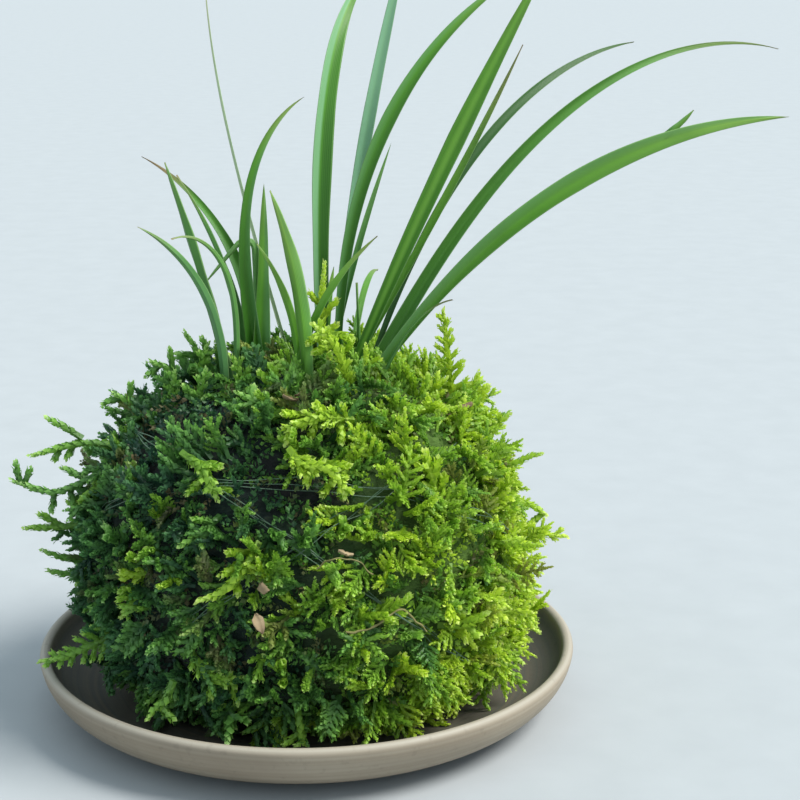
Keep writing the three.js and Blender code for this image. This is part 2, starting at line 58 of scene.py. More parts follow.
SEAMS = (-103.0, 17.0, 138.0)  # compass angles at which one moss sheet ends and the next begins
SHEETS = ("right", "back", "left")

ANY_TURN = 6.3  # radians, a full turn
GOLDEN_ANGLE = 137.508

LEAF = dict(spacing=0.38, length=1.25, width=1.1)  # one of the small leaves on a finger of moss
LEAF_TURN = 2.4  # radians round a finger from one leaf to the next
CORE_RADIUS = 0.62
FELT_DEPTH = 3.4
FELT_SINK = 9.0  # how much deeper the felt lies in a crown of grass
SAUCER_GAP = 0.3  # between the saucer and what lies on it
MOSS_LOOKS = ("fresh", "tone", "dead")
SPRIGS = 2210
CLUMPS = 230
UNDERGROWTH = 3600
LIVELY = 0.14  # share of the sprigs that are brighter than their clump
DEAD = 0.05  # share of the sprigs that have died, outside the dry patches
BROWNED = 0.22  # share of the undergrowth that has browned
LIGHT_SIDE = np.array([-0.06, -0.1, 0.16])  # how far the sprigs lean to the light
LOWEST_ROOT = 7.5  # no shoot grows from below this
CROWN_LEVEL = 80.0  # above this, no shoot grows in a crown of grass
CROWN_CLEAR = 1.5  # and none this near to one
MOST_TRIANGLES = 190_000  # in one piece of moss

THREAD_RADIUS = 0.1
STRANDS = (-0.7, 0.0, 0.9)  # how far each strand of a turn lies aside
THREAD_LIFT = 0.2
TURNS = ((205, 40), (262, 36), (330, 38))  # each turn's uphill compass angle, and its tilt

FOOT = 84.0  # height at which the grass blades leave their crown

# A blade's tuft, its foot, the compass angle that it heads for, how far it leans and droops, how late it
# bends, its length, width and turn, and its look. A look says, from 0 to 1, how pale and how bluish a leaf
# is, how light one half of it is (+ or -, by side), how clear its middle stripe is and how dry its tip is.
# The bluish is partly a painted sky sheen, and half is a painted sky reflection on one half and painted
# shade on the other. Its shade runs from -1, faded, to 1, dark, and its dark end is painted shade.
Blade = namedtuple("Blade", "tuft x y heading lean droop bend length width turn look")
BLADES = {
    "sickle_low": ("far_left", -22, -5, 199, -3, 65, 1.5, 60, 2.6, 60, dict(bluish=0.35, dry=0.2)),
    "straight_outer": ("far_left", -20, -1, 162, 11, 7, 1, 69, 3.8, 70, dict(bluish=0.2, shade=0.25)),
    "hook": ("far_left", -19, -4, 219, -4, 107, 3, 61, 1.8, 50, dict(bluish=0.25, pale=0.3, dry=0.3)),
    "dry_tipped": ("left", -13, 7, 148, -11, 81, 1, 82, 3.6, -60, dict(dry=1.0, half=0.3)),
    "slim": ("left", -16.5, 8, 174, -2, 35, 1, 66, 2.4, 60, dict(bluish=0.2, dry=0.3)),
    "arched_in": ("left", -11.5, 4, 27, -8, 72, 3, 90, 2.9, 65, dict(dry=0.25, half=-0.3)),
    "upright_short": ("left", -12.3, 1.5, 60, 5, -2, 1, 61, 3.4, 30, dict(pale=0.35, half=-0.4)),
    "folded_over": ("left", -13, 4, 180, -2, 6, 1, 64, 2.2, 65, dict(bluish=0.3, pale=0.5)),
    "broad_front": ("front", 0, -17, 180, -4, 23, 1, 63, 4.8, 70, dict(pale=0.85, half=0.3)),
    "front_left": ("front", -3, -14, 187, -12, 45, 1, 50, 2.6, 65, dict(pale=0.5)),
    "front_right": ("front", -3, -14, 1, 0, 49, 1, 56, 2.4, 65, dict(pale=0.45, dry=0.3)),
    "tall_folded": ("centre", 5, 6, 66, -3, 84, 3, 129, 6.5, 40, dict(half=1.0)),
    "tallest": ("centre", 7.5, 10, 35, 6, 13, 1, 134, 4.2, 60, dict(bluish=1.0, pale=0.5, half=0.6)),
    "young": ("centre", 6, 11, 16, 10, 11, 1, 73, 2, 60, dict(pale=0.35, bluish=0.3)),
    "shortest": ("centre", 1.5, 5, 123, -7, 32, 1, 41, 2, -50, dict(bluish=0.1)),
    "young_low": ("centre", 3.8, 3.8, 59, 5, 18, 1, 38, 2.8, 60, dict(pale=0.3)),
    "thread_like": ("centre", -1, 9.5, 135, 22, -21, 3, 124, 0.8, -60, dict(pale=1.0, shade=-0.8, dry=0.3)),
    "right_inner": ("right", 9.5, 2.4, 12, -1, 62, 1.5, 133, 4.4, 65, dict(half=0.35)),
    "right_straight": ("right", 9, -1, -2, 22, 6, 1, 133, 5.6, 70, dict(stripe=0.9, pale=0.15)),
    "right_brown_tipped": ("right", 8, 3, 5, 29, -4, 3, 110, 2.4, 60, dict(dry=0.5, pale=0.7, shade=0.15)),
    "right_rear": ("right", 14.5, 1, 36, 23, 63, 1.5, 149, 3, 60, dict(bluish=0.15, shade=0.75)),
    "right_long": ("right", 13, -3, 22, 32, 72, 2, 177, 4.6, 60, dict(shade=0.2, half=-0.2, dry=0.3)),
    "right_low": ("right", 12, -6.5, -2, 34, 54, 1.5, 146, 6.2, 62, dict(pale=0.5, half=0.35)),
    "right_dark_curl": ("right", 17, -5.5, -38, 27, 48, 3, 45, 1.6, 50, dict(dry=0.5, bluish=0.2)),
    "right_hooked": ("right", 12, 3, 77, 12, 91, 1, 60, 2.2, 40, dict(dry=0.3, pale=0.2)),
    "right_young": ("right", 14.2, 3.8, 112, -9, 15, 1, 34, 1.8, 60, dict(bluish=0.1)),
}
LOOK_NAMES = ("pale", "bluish", "half", "stripe", "shade")
# How far a broken blade has fallen over, and at what share of its length.
FOLDS = {"folded_over": (136, 0.72)}
# The share of its length at which a second tip parts from a blade, and that tip's droop, length and width.
SPLIT_TIPS = {"right_low": (0.73, -30, 17, 2)}
SPLIT_ASIDE = 0.8  # how far the second tip starts behind the blade

# Each tuft's crown (x, y, radius), and how wide its blades are at the foot, next to their full width.
CROWNS = {
    "far_left": (-20.5, -3, 5),
    "left": (-14, 5, 5.5),
    "front": (-1.5, -15, 5),
    "centre": (5, 8, 5.5),
    "right": (12, -2, 6.5),
}
SHEATHS = {"far_left": 0.9, "left": 1.8, "front": 0.5, "centre": 0.35, "right": 0.3}
NARROWEST = 1.2  # a blade's least width at its foot
FULL_AT = 0.6  # the share of its length at which a blade has its full width
TAPER = 4.0  # how late a blade narrows to its tip
# Blades with a sheath or a taper of their own.
OWN_SHAPES = {
    "dry_tipped": dict(taper=2.0),
    "slim": dict(taper=2.5),
    "right_long": dict(sheath=0.9, taper=1.6),
    "right_dark_curl": dict(taper=1.2),
}

# Shoots that stand out of the ball's outline. Each has a depth y, a tone from dark to bright, the reach of
# the feathery side fingers on its first finger, and fingers that run through points (x, z) at that depth.
STRAYS = {
    "antler_left": (-8, 0.45, 0, [(-50, 76), (-61, 77), (-74, 74)], [(-60, 78), (-64, 80), (-69, 84)],
        [(-62, 77), (-64, 72)], [(-66, 76), (-68, 72)]),
    "forked_left": (-10, 0.3, 0, [(-55, 69), (-66, 64), (-72, 64), (-79, 67)], [(-77, 66), (-78, 72)],
        [(-76, 66), (-74, 70)], [(-68, 64), (-69, 58)], [(-58, 66), (-66, 70)], [(-64, 65), (-63, 59)]),
    "pair_left": (-6, 0.5, 0, [(-60, 53), (-71, 52), (-77, 52)], [(-66, 52), (-73, 56)]),
    "low_pair_left": (-4, 0.4, 0, [(-58, 41), (-68, 43), (-73, 45)], [(-58, 38), (-67, 38), (-72, 39)]),
    "over_rim_left": (-30, 0.5, 7, [(-50, 31), (-63, 25), (-71, 23)]),
    "hook_left": (2, 0.4, 0, [(-30, 84), (-34, 90), (-37, 95), (-42, 97)], [(-39, 96), (-43, 93)],
        [(-36, 94), (-37, 100)]),
    "curls_left": (6, 0.35, 0, [(-22, 86), (-25, 93), (-29, 98), (-33, 104)], [(-26, 96), (-28, 102)],
        [(-23, 92), (-24, 100)], [(-28, 97), (-35, 98)]),
    "curls_outer": (0, 0.4, 0, [(-44, 78), (-47, 85), (-52, 88)], [(-48, 86), (-47, 91)],
        [(-50, 87), (-55, 85)]),
    "crown_left_low": (-14, 0.42, 4, [(-27, 84), (-28, 92), (-26, 98)], [(-28, 90), (-32, 94)]),
    "crown_left_mid": (-12, 0.5, 4, [(-18, 87), (-17, 95), (-19, 101)], [(-17, 94), (-14, 98)]),
    "crown_left_far": (1, 0.45, 4, [(-27, 84), (-28, 95), (-26, 102)]),
    "crown_left_edge": (-4, 0.4, 4, [(-33, 80), (-36, 88), (-35, 96)]),
    "crown_middle": (-17, 0.62, 4, [(-8, 88), (-9, 96), (-6, 101)], [(-9, 94), (-12, 98)]),
    "low_left_bright": (-57, 0.6, 4, [(-30, 35), (-26, 30), (-21, 28), (-17, 29)], [(-24, 29), (-25, 23)],
        [(-21, 28), (-18, 22)]),
    "left_slanting": (-39, 0.6, 3, [(-40, 50), (-43, 45), (-48, 39)], [(-42, 46), (-48, 46)]),
    "tall_fern": (4, 0.95, 10, [(42, 72), (40, 92), (38, 110)], [(36, 76), (35, 86), (31, 93)],
        [(46, 72), (45, 84), (48, 92)], [(44, 70), (50, 80)]),
    "shoulder": (4, 0.9, 6, [(44, 69), (52, 75), (57, 80)]),
    "thin_right": (-4, 0.8, 0, [(50, 64), (58, 68), (62, 70), (65, 70.5)]),
    "bent_right": (-10, 0.85, 0, [(52, 60), (61, 58), (66, 55)], [(65.5, 55.5), (60, 51)]),
    "long_fern": (-14, 1.0, 7, [(46, 55), (60, 52), (71, 50)]),
    "mid_right": (-8, 0.85, 0, [(52, 39), (61, 39), (65, 37)], [(54, 35), (64, 33)]),
    "low_right": (-12, 0.85, 0, [(50, 26), (60, 24), (64, 21)], [(52, 22), (62, 18)]),
    "overhang_right": (-26, 0.8, 5, [(42, 23), (54, 21), (58, 18)], [(46, 20), (51, 14)]),
    "crown_fern": (-22, 0.88, 3, [(12, 90), (11, 98), (8, 106), (2, 112)], [(9, 102), (13, 107)],
        [(7, 108), (12, 109)], [(8, 105), (3, 104)], [(5, 109), (1, 107)]),
    "between_blades": (-6, 0.95, 0, [(4, 90), (5, 101), (5, 115), (6, 125)], [(5, 110), (9, 115)],
        [(5, 113), (1, 117)], [(5, 104), (9, 108)]),
    "front_low": (-58, 0.6, 0, [(-3, 21), (-2, 15), (-2, 12), (-3, 10)], [(-2, 14), (-6, 11)]),
    "front_low_left": (-56, 0.5, 0, [(-34, 28), (-36, 24), (-39, 20), (-41, 18)], [(-38, 21), (-35, 17)]),
    "back_fern": (44, 0.8, 8, [(18, 70), (22, 86), (20, 98)]),
    "back_left": (46, 0.45, 6, [(-24, 62), (-30, 78), (-34, 88)]),
    "back_right": (30, 0.8, 6, [(42, 34), (54, 37), (62, 35)]),
    "bright_patch": (-44, 0.86, 5, [(12, 91), (4, 93), (-3, 90), (-5, 86)], [(6, 92), (3, 96)],
        [(0, 92), (-5, 94)], [(9, 92), (9, 86)], [(3, 92), (1, 87)]),
    "bright_curl": (-53, 0.88, 4, [(-4, 86), (-1, 83), (5, 82), (9, 78), (10, 74)], [(5, 82), (11, 83)],
        [(8, 79), (4, 75)], [(1, 83), (0, 78)]),
    "left_sprig": (-48, 0.62, 2.5, [(-31, 84), (-26, 81), (-24, 77), (-22, 73)], [(-27, 81), (-21, 82)],
        [(-25, 78), (-30, 75)], [(-23, 75), (-18, 74)]),
    "bright_fork": (-60, 0.8, 0, [(-12, 64), (-15, 60), (-21, 53), (-27, 51)], [(-16, 59), (-21, 57)],
        [(-18, 56), (-17, 52)], [(-14, 61), (-19, 63)]),
}

STOUT_STRAYS = (
    "bright_fork",
    "crown_fern",
    "bright_patch",
    "bright_curl",
    "left_sprig",
    "low_left_bright",
    "left_slanting",
)
STRAY_THICKNESS = dict(stout=1.6, plain=1.45)

# Hollows in the moss, where the shoots are short and sunk, and where painted shade darkens the shoots and
# the felt: (x, y, z, radius).
HOLLOWS = (
    (-29, -13, 91, 11),
    (-40.5, -15, 84, 11),
    (-44, -24, 77, 10),
    (-22, -30, 87, 9),
    (-12, -43, 80, 8),
    (-5, -48, 77, 10),
    (4, -50, 74, 7),
    (-29.3, -50.5, 58.1, 5),
    (-40, 32, 60, 8),
    (20, 50, 52, 7),
)

# Patches where much of the moss has dried: (x, y, z, radius).
DRY_PATCHES = (
    (-27, -53, 42, 13),
    (-6, -22, 95, 9),
    (43, -28, 72, 9),
    (-10, 56, 50, 10),
)

# Places where the shoots are short, so that the long ones beside them stand clear: (x, y, z, radius).
CLOSE_PATCHES = (
    (55, 0, 62, 17),
    (60, -4, 42, 13),
)

# Flakes of old leaf caught in the moss: (x, y, z, length, width, compass angle, climb).
FLAKES = (
    (-3.8, -35.5, 95.2, 4.5, 2.2, 200, 20),
    (-11.1, -63.5, 54.6, 4, 2.4, 250, 60),
    (-12.3, -64, 45.7, 5.5, 2.6, 300, -50),
    (9.3, -62, 62.8, 4, 1.8, 10, -20),
    (42.7, -18.5, 87.9, 4.5, 2.2, 30, 10),
    (-1.2, -34, 96.1, 3.5, 1.6, 320, 30),
    (-30, 38, 80, 4, 2, 100, 30),
    (36, 44, 66, 5, 2.2, 40, -30),
)
# Dry stems that lie on the moss, through points, with their radius.
STEMS = (
    (
        0.26,
        [(9.1, -64.5, 43.3), (15.8, -64.5, 44.6), (22.8, -62, 48.2), (26.4, -60.5, 44.9), (29.8, -59, 41)],
    ),
    (0.18, [(2, -63, 60), (7, -64, 62.5), (12, -62.5, 61.5), (16, -62.5, 58)]),
    (0.25, [(-44, 40, 50), (-38, 46, 54), (-30, 51, 52), (-24, 54, 47)]),
)

# ---------------- small helpers


def direction(heading, climb):
    """A unit vector from a compass angle and a climb, in degrees."""
    h, c = np.radians(heading), np.radians(climb)
    return np.stack([np.cos(h) * np.cos(c), np.sin(h) * np.cos(c), np.sin(c)], axis=-1)


def unit(v):
    return v / np.linalg.norm(v, axis=-1, keepdims=True)


def smoothstep(x, low, high):
    t = np.clip((x - low) / (high - low), 0, 1)
    return t * t * (3 - 2 * t)


def square_to(along):
    """Two unit vectors square to each direction and to each other."""
    helper = np.where(np.abs(along[..., 2:3]) < 0.9, [0.0, 0.0, 1.0], [1.0, 0.0, 0.0])
    u = unit(np.cross(helper, along))
    return u, np.cross(along, u)


def new_object(name, points, faces, attributes=(), smooth=False):
    """A mesh object from points in millimetres, faces of point numbers and (name, values at points)."""
    mesh = bpy.data.meshes.new(name)
    points = np.asarray(points, dtype=np.float32)
    rows = [np.asarray(rows, dtype=np.int32) for rows in (faces if isinstance(faces, list) else [faces])]
    rows = [row for row in rows if len(row)]
    loops = np.concatenate([row.ravel() for row in rows])
    sizes = np.concatenate([np.full(len(row), row.shape[1]) for row in rows]).astype(np.int32)
    starts = np.concatenate([[0], np.cumsum(sizes)[:-1]]).astype(np.int32)
    mesh.vertices.add(len(points))
    mesh.vertices.foreach_set("co", (points * MM).ravel())
    mesh.loops.add(len(loops))
    mesh.loops.foreach_set("vertex_index", loops)
    mesh.polygons.add(len(sizes))
    mesh.polygons.foreach_set("loop_start", starts)
    mesh.polygons.foreach_set("loop_total", sizes)
    mesh.update(calc_edges=True)
    mesh.polygons.foreach_set("use_smooth", np.full(len(sizes), smooth))
    for label, values in attributes:
        layer = mesh.attributes.new(label, "FLOAT", "POINT")
        layer.data.foreach_set("value", np.asarray(values, dtype=np.float32))
    piece = bpy.data.objects.new(name, mesh)
    bpy.context.scene.collection.objects.link(piece)
    return piece


def finish_piece(piece, material, slot, *nodes):
    """Gives a piece its material and its place in the frame."""
    piece.data.materials.append(material)
    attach(piece, "root")
    if nodes:
        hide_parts(*nodes)


def grid_faces(rows, columns, closed=False):
    """Quads over a grid of points, row by row; closed joins the last column to the first."""
    i, j = np.meshgrid(np.arange(rows - 1), np.arange(columns if closed else columns - 1), indexing="ij")
    k = (j + 1) % columns
    quads = [i * columns + j, i * columns + k, (i + 1) * columns + k, (i + 1) * columns + j]
    return np.stack(quads, -1).reshape(-1, 4)


def fused(parts):
    """Joins meshes into one. Each is its points, its faces and any values at its points."""
    points, faces, *values = zip(*parts)
    starts = np.cumsum([0, *map(len, points)])
    faces = [own + start for own, start in zip(faces, starts)]
    return tuple(np.concatenate(column) for column in (points, faces, *values))


def capped_grid(points, ends=None):
    """Points and faces of a grid whose first and last rows are closed round two end points."""
    rows, columns = points.shape[:2]
    flat = points.reshape(-1, 3)
    if ends is None:
        ends = [flat[:columns].mean(0), flat[-columns:].mean(0)]
    hub = rows * columns
    first = np.arange(columns)
    last = first + hub - columns
    faces = [
        grid_faces(rows, columns, closed=True),
        np.stack([np.full(columns, hub), np.roll(first, -1), first], -1),
        np.stack([np.full(columns, hub + 1), last, np.roll(last, -1)], -1),
    ]
    return np.vstack([flat, ends]), faces


# ---------------- materials


class Nodes:
    """Builds a material's node tree: each call adds a node and returns its output."""

    def __init__(self, name):
        self.material = bpy.data.materials.new(name)
        self.material.use_nodes = True
        self.tree = self.material.node_tree
        self.shader = self.tree.nodes["Principled BSDF"]

    def add(self, kind, inputs=None, output=0, **settings):
        node = self.tree.nodes.new(kind)
        for key, value in settings.items():
            setattr(node, key, value)
        for key, value in (inputs or {}).items():
            self.set(node, key, value)
        return node.outputs[output]

    def set(self, node, key, value):
        """Links an output to an input, or sets its value. A colour is red, green and blue up to 255."""
        socket = node.inputs[key]
        if isinstance(value, bpy.types.NodeSocket):
            self.tree.links.new(value, socket)
        else:
            socket.default_value = rgb(*value) if socket.type == "RGBA" else value

    def shade(self, **inputs):
        """Sets the shader's inputs by name, and returns the material."""
        for key, value in inputs.items():
            self.set(self.shader, key.replace("_", " "), value)
        return self.material

    def attribute(self, name):
        return self.add("ShaderNodeAttribute", attribute_name=name, output=2)

    def position(self):
        return self.add("ShaderNodeTexCoord", output=3)

    def noise(self, scale, detail=4.0, roughness=0.55, vector=None, stretch=None):
        """Noise over the object, its scale in waves a metre, or over another vector."""
        vector = vector or self.position()
        if stretch:
            vector = self.add("ShaderNodeMapping", {"Vector": vector, "Scale": stretch})
        return self.add(
            "ShaderNodeTexNoise",
            {"Vector": vector, "Scale": scale, "Detail": detail, "Roughness": roughness},
        )

    def math(self, operation, a, b=0.0):
        return self.add("ShaderNodeMath", {0: a, 1: b}, operation=operation)

    def times(self, a, b):
        return self.math("MULTIPLY", a, b)

    def plus(self, a, b):
        return self.math("ADD", a, b)

    def span(self, value, low, high, to_low=0.0, to_high=1.0):
        return self.add(
            "ShaderNodeMapRange",
            {"Value": value, "From Min": low, "From Max": high, "To Min": to_low, "To Max": to_high},
        )

    def mix(self, factor, a, b):
        node = self.tree.nodes.new("ShaderNodeMix")
        node.data_type = "RGBA"
        self.set(node, 0, factor)
        self.set(node, 6, a)
        self.set(node, 7, b)
        return node.outputs[2]

    def layered(self, colour, *layers):
        """A colour with others laid over it, each given as its share and itself."""
        for share, over in layers:
            colour = self.mix(share, colour, over)
        return colour

    def ramp(self, factor, *stops):
        """Colours along a factor, each stop its place and its red, green and blue."""
        node = self.tree.nodes.new("ShaderNodeValToRGB")
        while len(node.color_ramp.elements) < len(stops):
            node.color_ramp.elements.new(0.5)
        for element, (place, *colour) in zip(node.color_ramp.elements, stops):
            element.position = place
            element.color = rgb(*colour)
        self.set(node, 0, factor)
        return node.outputs[0]

    def bump(self, height, strength, distance):
        inputs = {"Height": height, "Strength": strength, "Distance": distance * MM}
        return self.add("ShaderNodeBump", inputs)

    def glow_through(self, colour, share):
        """Lets some light through thin leaves."""
        through = self.add("ShaderNodeBsdfTranslucent", {"Color": colour})
        both = self.add("ShaderNodeMixShader", {0: share, 1: self.shader.outputs[0], 2: through})
        self.set(self.tree.nodes["Material Output"], 0, both)


def rgb(red, green, blue):
    """A colour from 0 to 255 as shown on a screen, in linear light."""
    parts = [((c / 255 + 0.055) / 1.055) ** 2.4 if c > 10 else c / 255 / 12.92 for c in (red, green, blue)]
    return (*parts, 1.0)


def stoneware_material():
    """Matte stoneware: taupe outside, dark inside, a paler rim, faint turning rings and specks."""
    n = Nodes("stoneware")
    inside = n.attribute("inside")
    rim = n.attribute("rim")
    cloud = n.noise(22.0, 5.0)
    grain = n.noise(900.0, 3.0, 0.7)
    rings = n.noise(1.0, 2.0, vector=n.attribute("ring"))
    speck = n.span(n.noise(420.0, 2.0, 0.4), 0.62, 0.7)
    outer = n.mix(n.span(cloud, 0.3, 0.7), (140, 127, 109), (163, 151, 132))
    inner = n.mix(n.span(cloud, 0.3, 0.7), (68, 68, 62), (84, 83, 76))
    body = n.layered(
        outer,
        (inside, inner),
        (rim, (158, 150, 136)),
        (n.times(n.span(rings, 0.35, 0.65), 0.34), (118, 102, 82)),
        (n.times(speck, 0.12), (62, 52, 42)),
    )
    relief = n.plus(n.times(grain, 0.6), n.times(rings, 0.8))
    return n.shade(
        Base_Color=body,
        Roughness=n.span(n.plus(n.times(cloud, 0.7), n.times(grain, 0.3)), 0.3, 0.7, 0.52, 0.68),
        Specular_IOR_Level=0.45,
        Normal=n.bump(relief, 0.35, 0.25),
    )


def soil_material():
    """Damp crumbs, darker in patches."""
    n = Nodes("soil")
    crumbs = n.noise(260.0, 6.0, 0.65)
    damp = n.noise(40.0, 3.0)
    colour = n.ramp(crumbs, (0.3, 28, 21, 16), (0.52, 58, 44, 32), (0.7, 96, 76, 55))
    return n.shade(
        Base_Color=n.mix(n.span(damp, 0.4, 0.6, 0.0, 0.5), colour, (25, 19, 14)),
        Roughness=n.span(damp, 0.4, 0.6, 0.95, 0.7),
        Normal=n.bump(crumbs, 0.9, 1.2),
    )


def mat_material():
    """The dark felt of old stems and fibres below the living moss. Its teal-black is partly painted shade,
    the colour of the gaps between the shoots.
    """
    n = Nodes("moss_felt_and_gap_shade")
    fibre = n.noise(300.0, 5.0, 0.7, stretch=(1.0, 1.0, 3.0))
    patch = n.noise(45.0, 3.0)
    sideways = n.add("ShaderNodeSeparateXYZ", {0: n.position()})
    colour = n.layered(
        n.ramp(fibre, (0.3, 18, 30, 32), (0.55, 34, 52, 44), (0.75, 74, 80, 48)),
        (n.span(patch, 0.5, 0.7, 0.0, 0.5), (44, 36, 24)),
        # Painted light: the felt turns lighter and greener towards the lit right.
        (n.span(sideways, -0.01, 0.04, 0.0, 0.7), (96, 130, 40)),
        # Painted shade: the felt is darker in the hollows.
        (n.attribute("hollow_shade"), (24, 26, 26)),
    )
    return n.shade(Base_Color=colour, Roughness=0.95, Normal=n.bump(fibre, 1.0, 1.5))


def moss_material():
    """Living moss. tone runs from blue-green to yellow-green and carries painted shade on the left and
    painted light on the right; fresh runs from a shoot's foot to its tip.
    """
    n = Nodes("moss")
    tone = n.attribute("tone")
    fresh = n.attribute("fresh")
    fine = n.noise(700.0, 3.0, 0.6)
    old = n.ramp(tone, (0.0, 36, 72, 56), (0.4, 66, 112, 56), (0.7, 110, 156, 46), (1.0, 156, 192, 40))
    young = n.ramp(tone, (0.0, 100, 158, 88), (0.4, 134, 190, 78), (0.7, 172, 214, 66), (1.0, 212, 236, 68))
    tips = n.ramp(tone, (0.0, 176, 218, 160), (0.5, 214, 238, 142), (1.0, 240, 248, 158))
    colour = n.layered(
        old,
        (n.span(fresh, 0.1, 0.85), young),
        (n.span(fresh, 0.78, 1.0, 0.0, 0.75), tips),
        (n.times(n.span(fine, 0.4, 0.7), 0.2), (36, 60, 26)),
        (n.attribute("dead"), n.mix(fine, (72, 62, 44), (150, 132, 92))),
    )
    n.shade(
        Base_Color=colour,
        Roughness=n.span(fine, 0.3, 0.7, 0.42, 0.6),
        Specular_IOR_Level=0.5,
        Normal=n.bump(fine, 0.3, 0.3),
    )
    n.glow_through(colour, 0.4)
    return n.material


def grass_material():
    """A grass leaf with parallel veins. across runs over its width, along from its foot to its tip."""
    n = Nodes("grass")
    across, along, dry = n.attribute("across"), n.attribute("along"), n.attribute("dry")
    pale, bluish, half, stripe, shade = (n.attribute(name) for name in LOOK_NAMES)
    veins = n.math("SINE", n.times(across, 40.0))
    blotch = n.noise(55.0, 4.0)
    lengthwise = n.add("ShaderNodeCombineXYZ", {0: across, 1: n.times(along, 0.3), 2: pale})
    streak = n.noise(9.0, 4.0, 0.6, vector=lengthwise)
    deep = n.ramp(along, (0.0, 66, 106, 44), (0.18, 54, 112, 30), (0.75, 84, 148, 36), (1.0, 124, 166, 68))
    light = n.ramp(along, (0.0, 112, 160, 70), (0.5, 112, 172, 46), (1.0, 166, 200, 98))
    # Painted reflection and shade: the look half lightens one half of a blade with a painted sky reflection
    # and darkens the other with painted shade.
    side = n.span(n.times(across, half), 0.0, 0.25)
    painted_shade_half = n.span(n.times(across, half), -0.25, 0.0, 0.4, 0.0)
    band = n.span(n.math("ABSOLUTE", n.math("SUBTRACT", across, 0.1)), 0.12, 0.5, 1.0, 0.0)
    colour = n.layered(
        deep,
        (pale, light),
        (n.span(streak, 0.35, 0.7, 0.0, 0.4), (96, 158, 44)),
        (n.span(blotch, 0.5, 0.75, 0.0, 0.25), (26, 72, 24)),
        # Painted sky reflection on one half, painted shade on the other.
        (n.times(side, n.math("ABSOLUTE", half)), (128, 178, 128)),
        (painted_shade_half, (28, 84, 24)),
        (n.times(band, stripe), (122, 178, 62)),
        # Partly the leaf's own grey-green, partly a painted sky sheen.
        (n.times(bluish, 0.75), (132, 178, 150)),
        # A positive shade is painted shade over the whole leaf; a negative one fades it to a dry pale.
        (n.span(shade, 0.0, 1.0), (24, 62, 30)),
        (n.span(shade, -1.0, 0.0, 1.0, 0.0), (198, 210, 180)),
        (n.span(veins, 0.2, 1.0, 0.0, 0.14), (130, 176, 84)),
        (n.span(n.math("ABSOLUTE", across), 0.86, 1.0, 0.0, 0.35), (164, 196, 132)),
        (dry, n.mix(blotch, (104, 86, 62), (168, 148, 104))),
    )
    n.shade(
        Base_Color=colour,
        Roughness=n.span(streak, 0.3, 0.7, 0.36, 0.5),
        Specular_IOR_Level=0.4,
        Normal=n.bump(n.plus(veins, n.times(blotch, 0.8)), 0.25, 0.06),
    )
    n.glow_through(colour, 0.25)
    return n.material


def thread_material():
    """Thin greenish nylon."""
    n = Nodes("nylon_thread")
    twist = n.noise(1500.0, 2.0)
    return n.shade(
        Base_Color=n.mix(twist, (62, 88, 70), (108, 134, 108)),
        Roughness=n.span(twist, 0.3, 0.7, 0.25, 0.4),
        Normal=n.bump(twist, 0.3, 0.05),
    )


def litter_material():
    """Brown flakes, and olive stems."""
    n = Nodes("litter")
    grain = n.noise(500.0, 4.0, 0.6)
    age = n.noise(70.0, 2.0)
    flake = n.mix(
        n.span(age, 0.35, 0.65),
        n.mix(grain, (62, 46, 30), (116, 92, 60)),
        n.mix(grain, (116, 98, 70), (184, 162, 128)),
    )
    stem = n.mix(grain, (84, 84, 42), (140, 132, 78))
    return n.shade(
        Base_Color=n.mix(n.attribute("stem"), flake, stem),
        Roughness=n.span(grain, 0.3, 0.7, 0.6, 0.85),
        Normal=n.bump(grain, 0.5, 0.3),
    )


def floor_material():
    """A plain pale floor."""
    n = Nodes("pale_floor")
    grain = n.noise(60.0, 3.0)
    return n.shade(Base_Color=n.mix(grain, (157, 161, 164), (166, 170, 173)), Roughness=0.8)


# ---------------- the ball's shape


def above_or_below(size, towards):
    """The ball's half height and fullness along unit vectors, above its widest level or below it."""
    rising = towards[..., 2] > 0
    return (np.where(rising, values["up"], values["down"]) for values in (size, FULLNESS))


def reach(size, towards):
    """How far the ball reaches from its middle along unit vectors."""
    level, power = above_or_below(size, towards)
    sideways = np.hypot(towards[..., 0], towards[..., 1]) / size["radius"]
    return (sideways**power + (np.abs(towards[..., 2]) / level) ** power) ** (-1 / power)


def swell(towards):
    """Where the mat swells and sinks, from -1 to 1."""
    x, y, z = np.moveaxis(towards, -1, 0)
    broad = np.sin(5.1 * x + 2.3 * z + 0.4) * np.cos(4.3 * y - 1.1)
    small = np.sin(9.7 * y + 6.1 * z + 2.0) * np.cos(8.9 * x + 0.7)
    return 0.5 * broad + 0.5 * small


def moss_surface(towards, outwards=0.0):
    """Points on the moss mat along unit vectors from the ball's middle."""
    distance = reach(MOSS, towards) + LUMP * swell(towards) + outwards
    return towards * distance[..., None] + [0, 0, MIDDLE]


def moss_normal(towards):
    """The mat's outward normal, from the slope of the ball's formula."""
    level, power = above_or_below(MOSS, towards)
    flat = np.hypot(towards[..., 0], towards[..., 1]) + 1e-9
    out = (flat / MOSS["radius"]) ** (power - 1) / MOSS["radius"]
    rise = np.sign(towards[..., 2]) * (np.abs(towards[..., 2]) / level) ** (power - 1) / level
    return unit(np.stack([out * towards[..., 0] / flat, out * towards[..., 1] / flat, rise], -1))


def sheet_number(points):
    """Which moss sheet each point belongs to, by its compass angle."""
    heading = np.degrees(np.arctan2(points[..., 1], points[..., 0]))
    turned = (heading - SEAMS[0]) % 360
    return (turned >= (SEAMS[1] - SEAMS[0])).astype(int) + (turned >= (SEAMS[2] - SEAMS[0]))


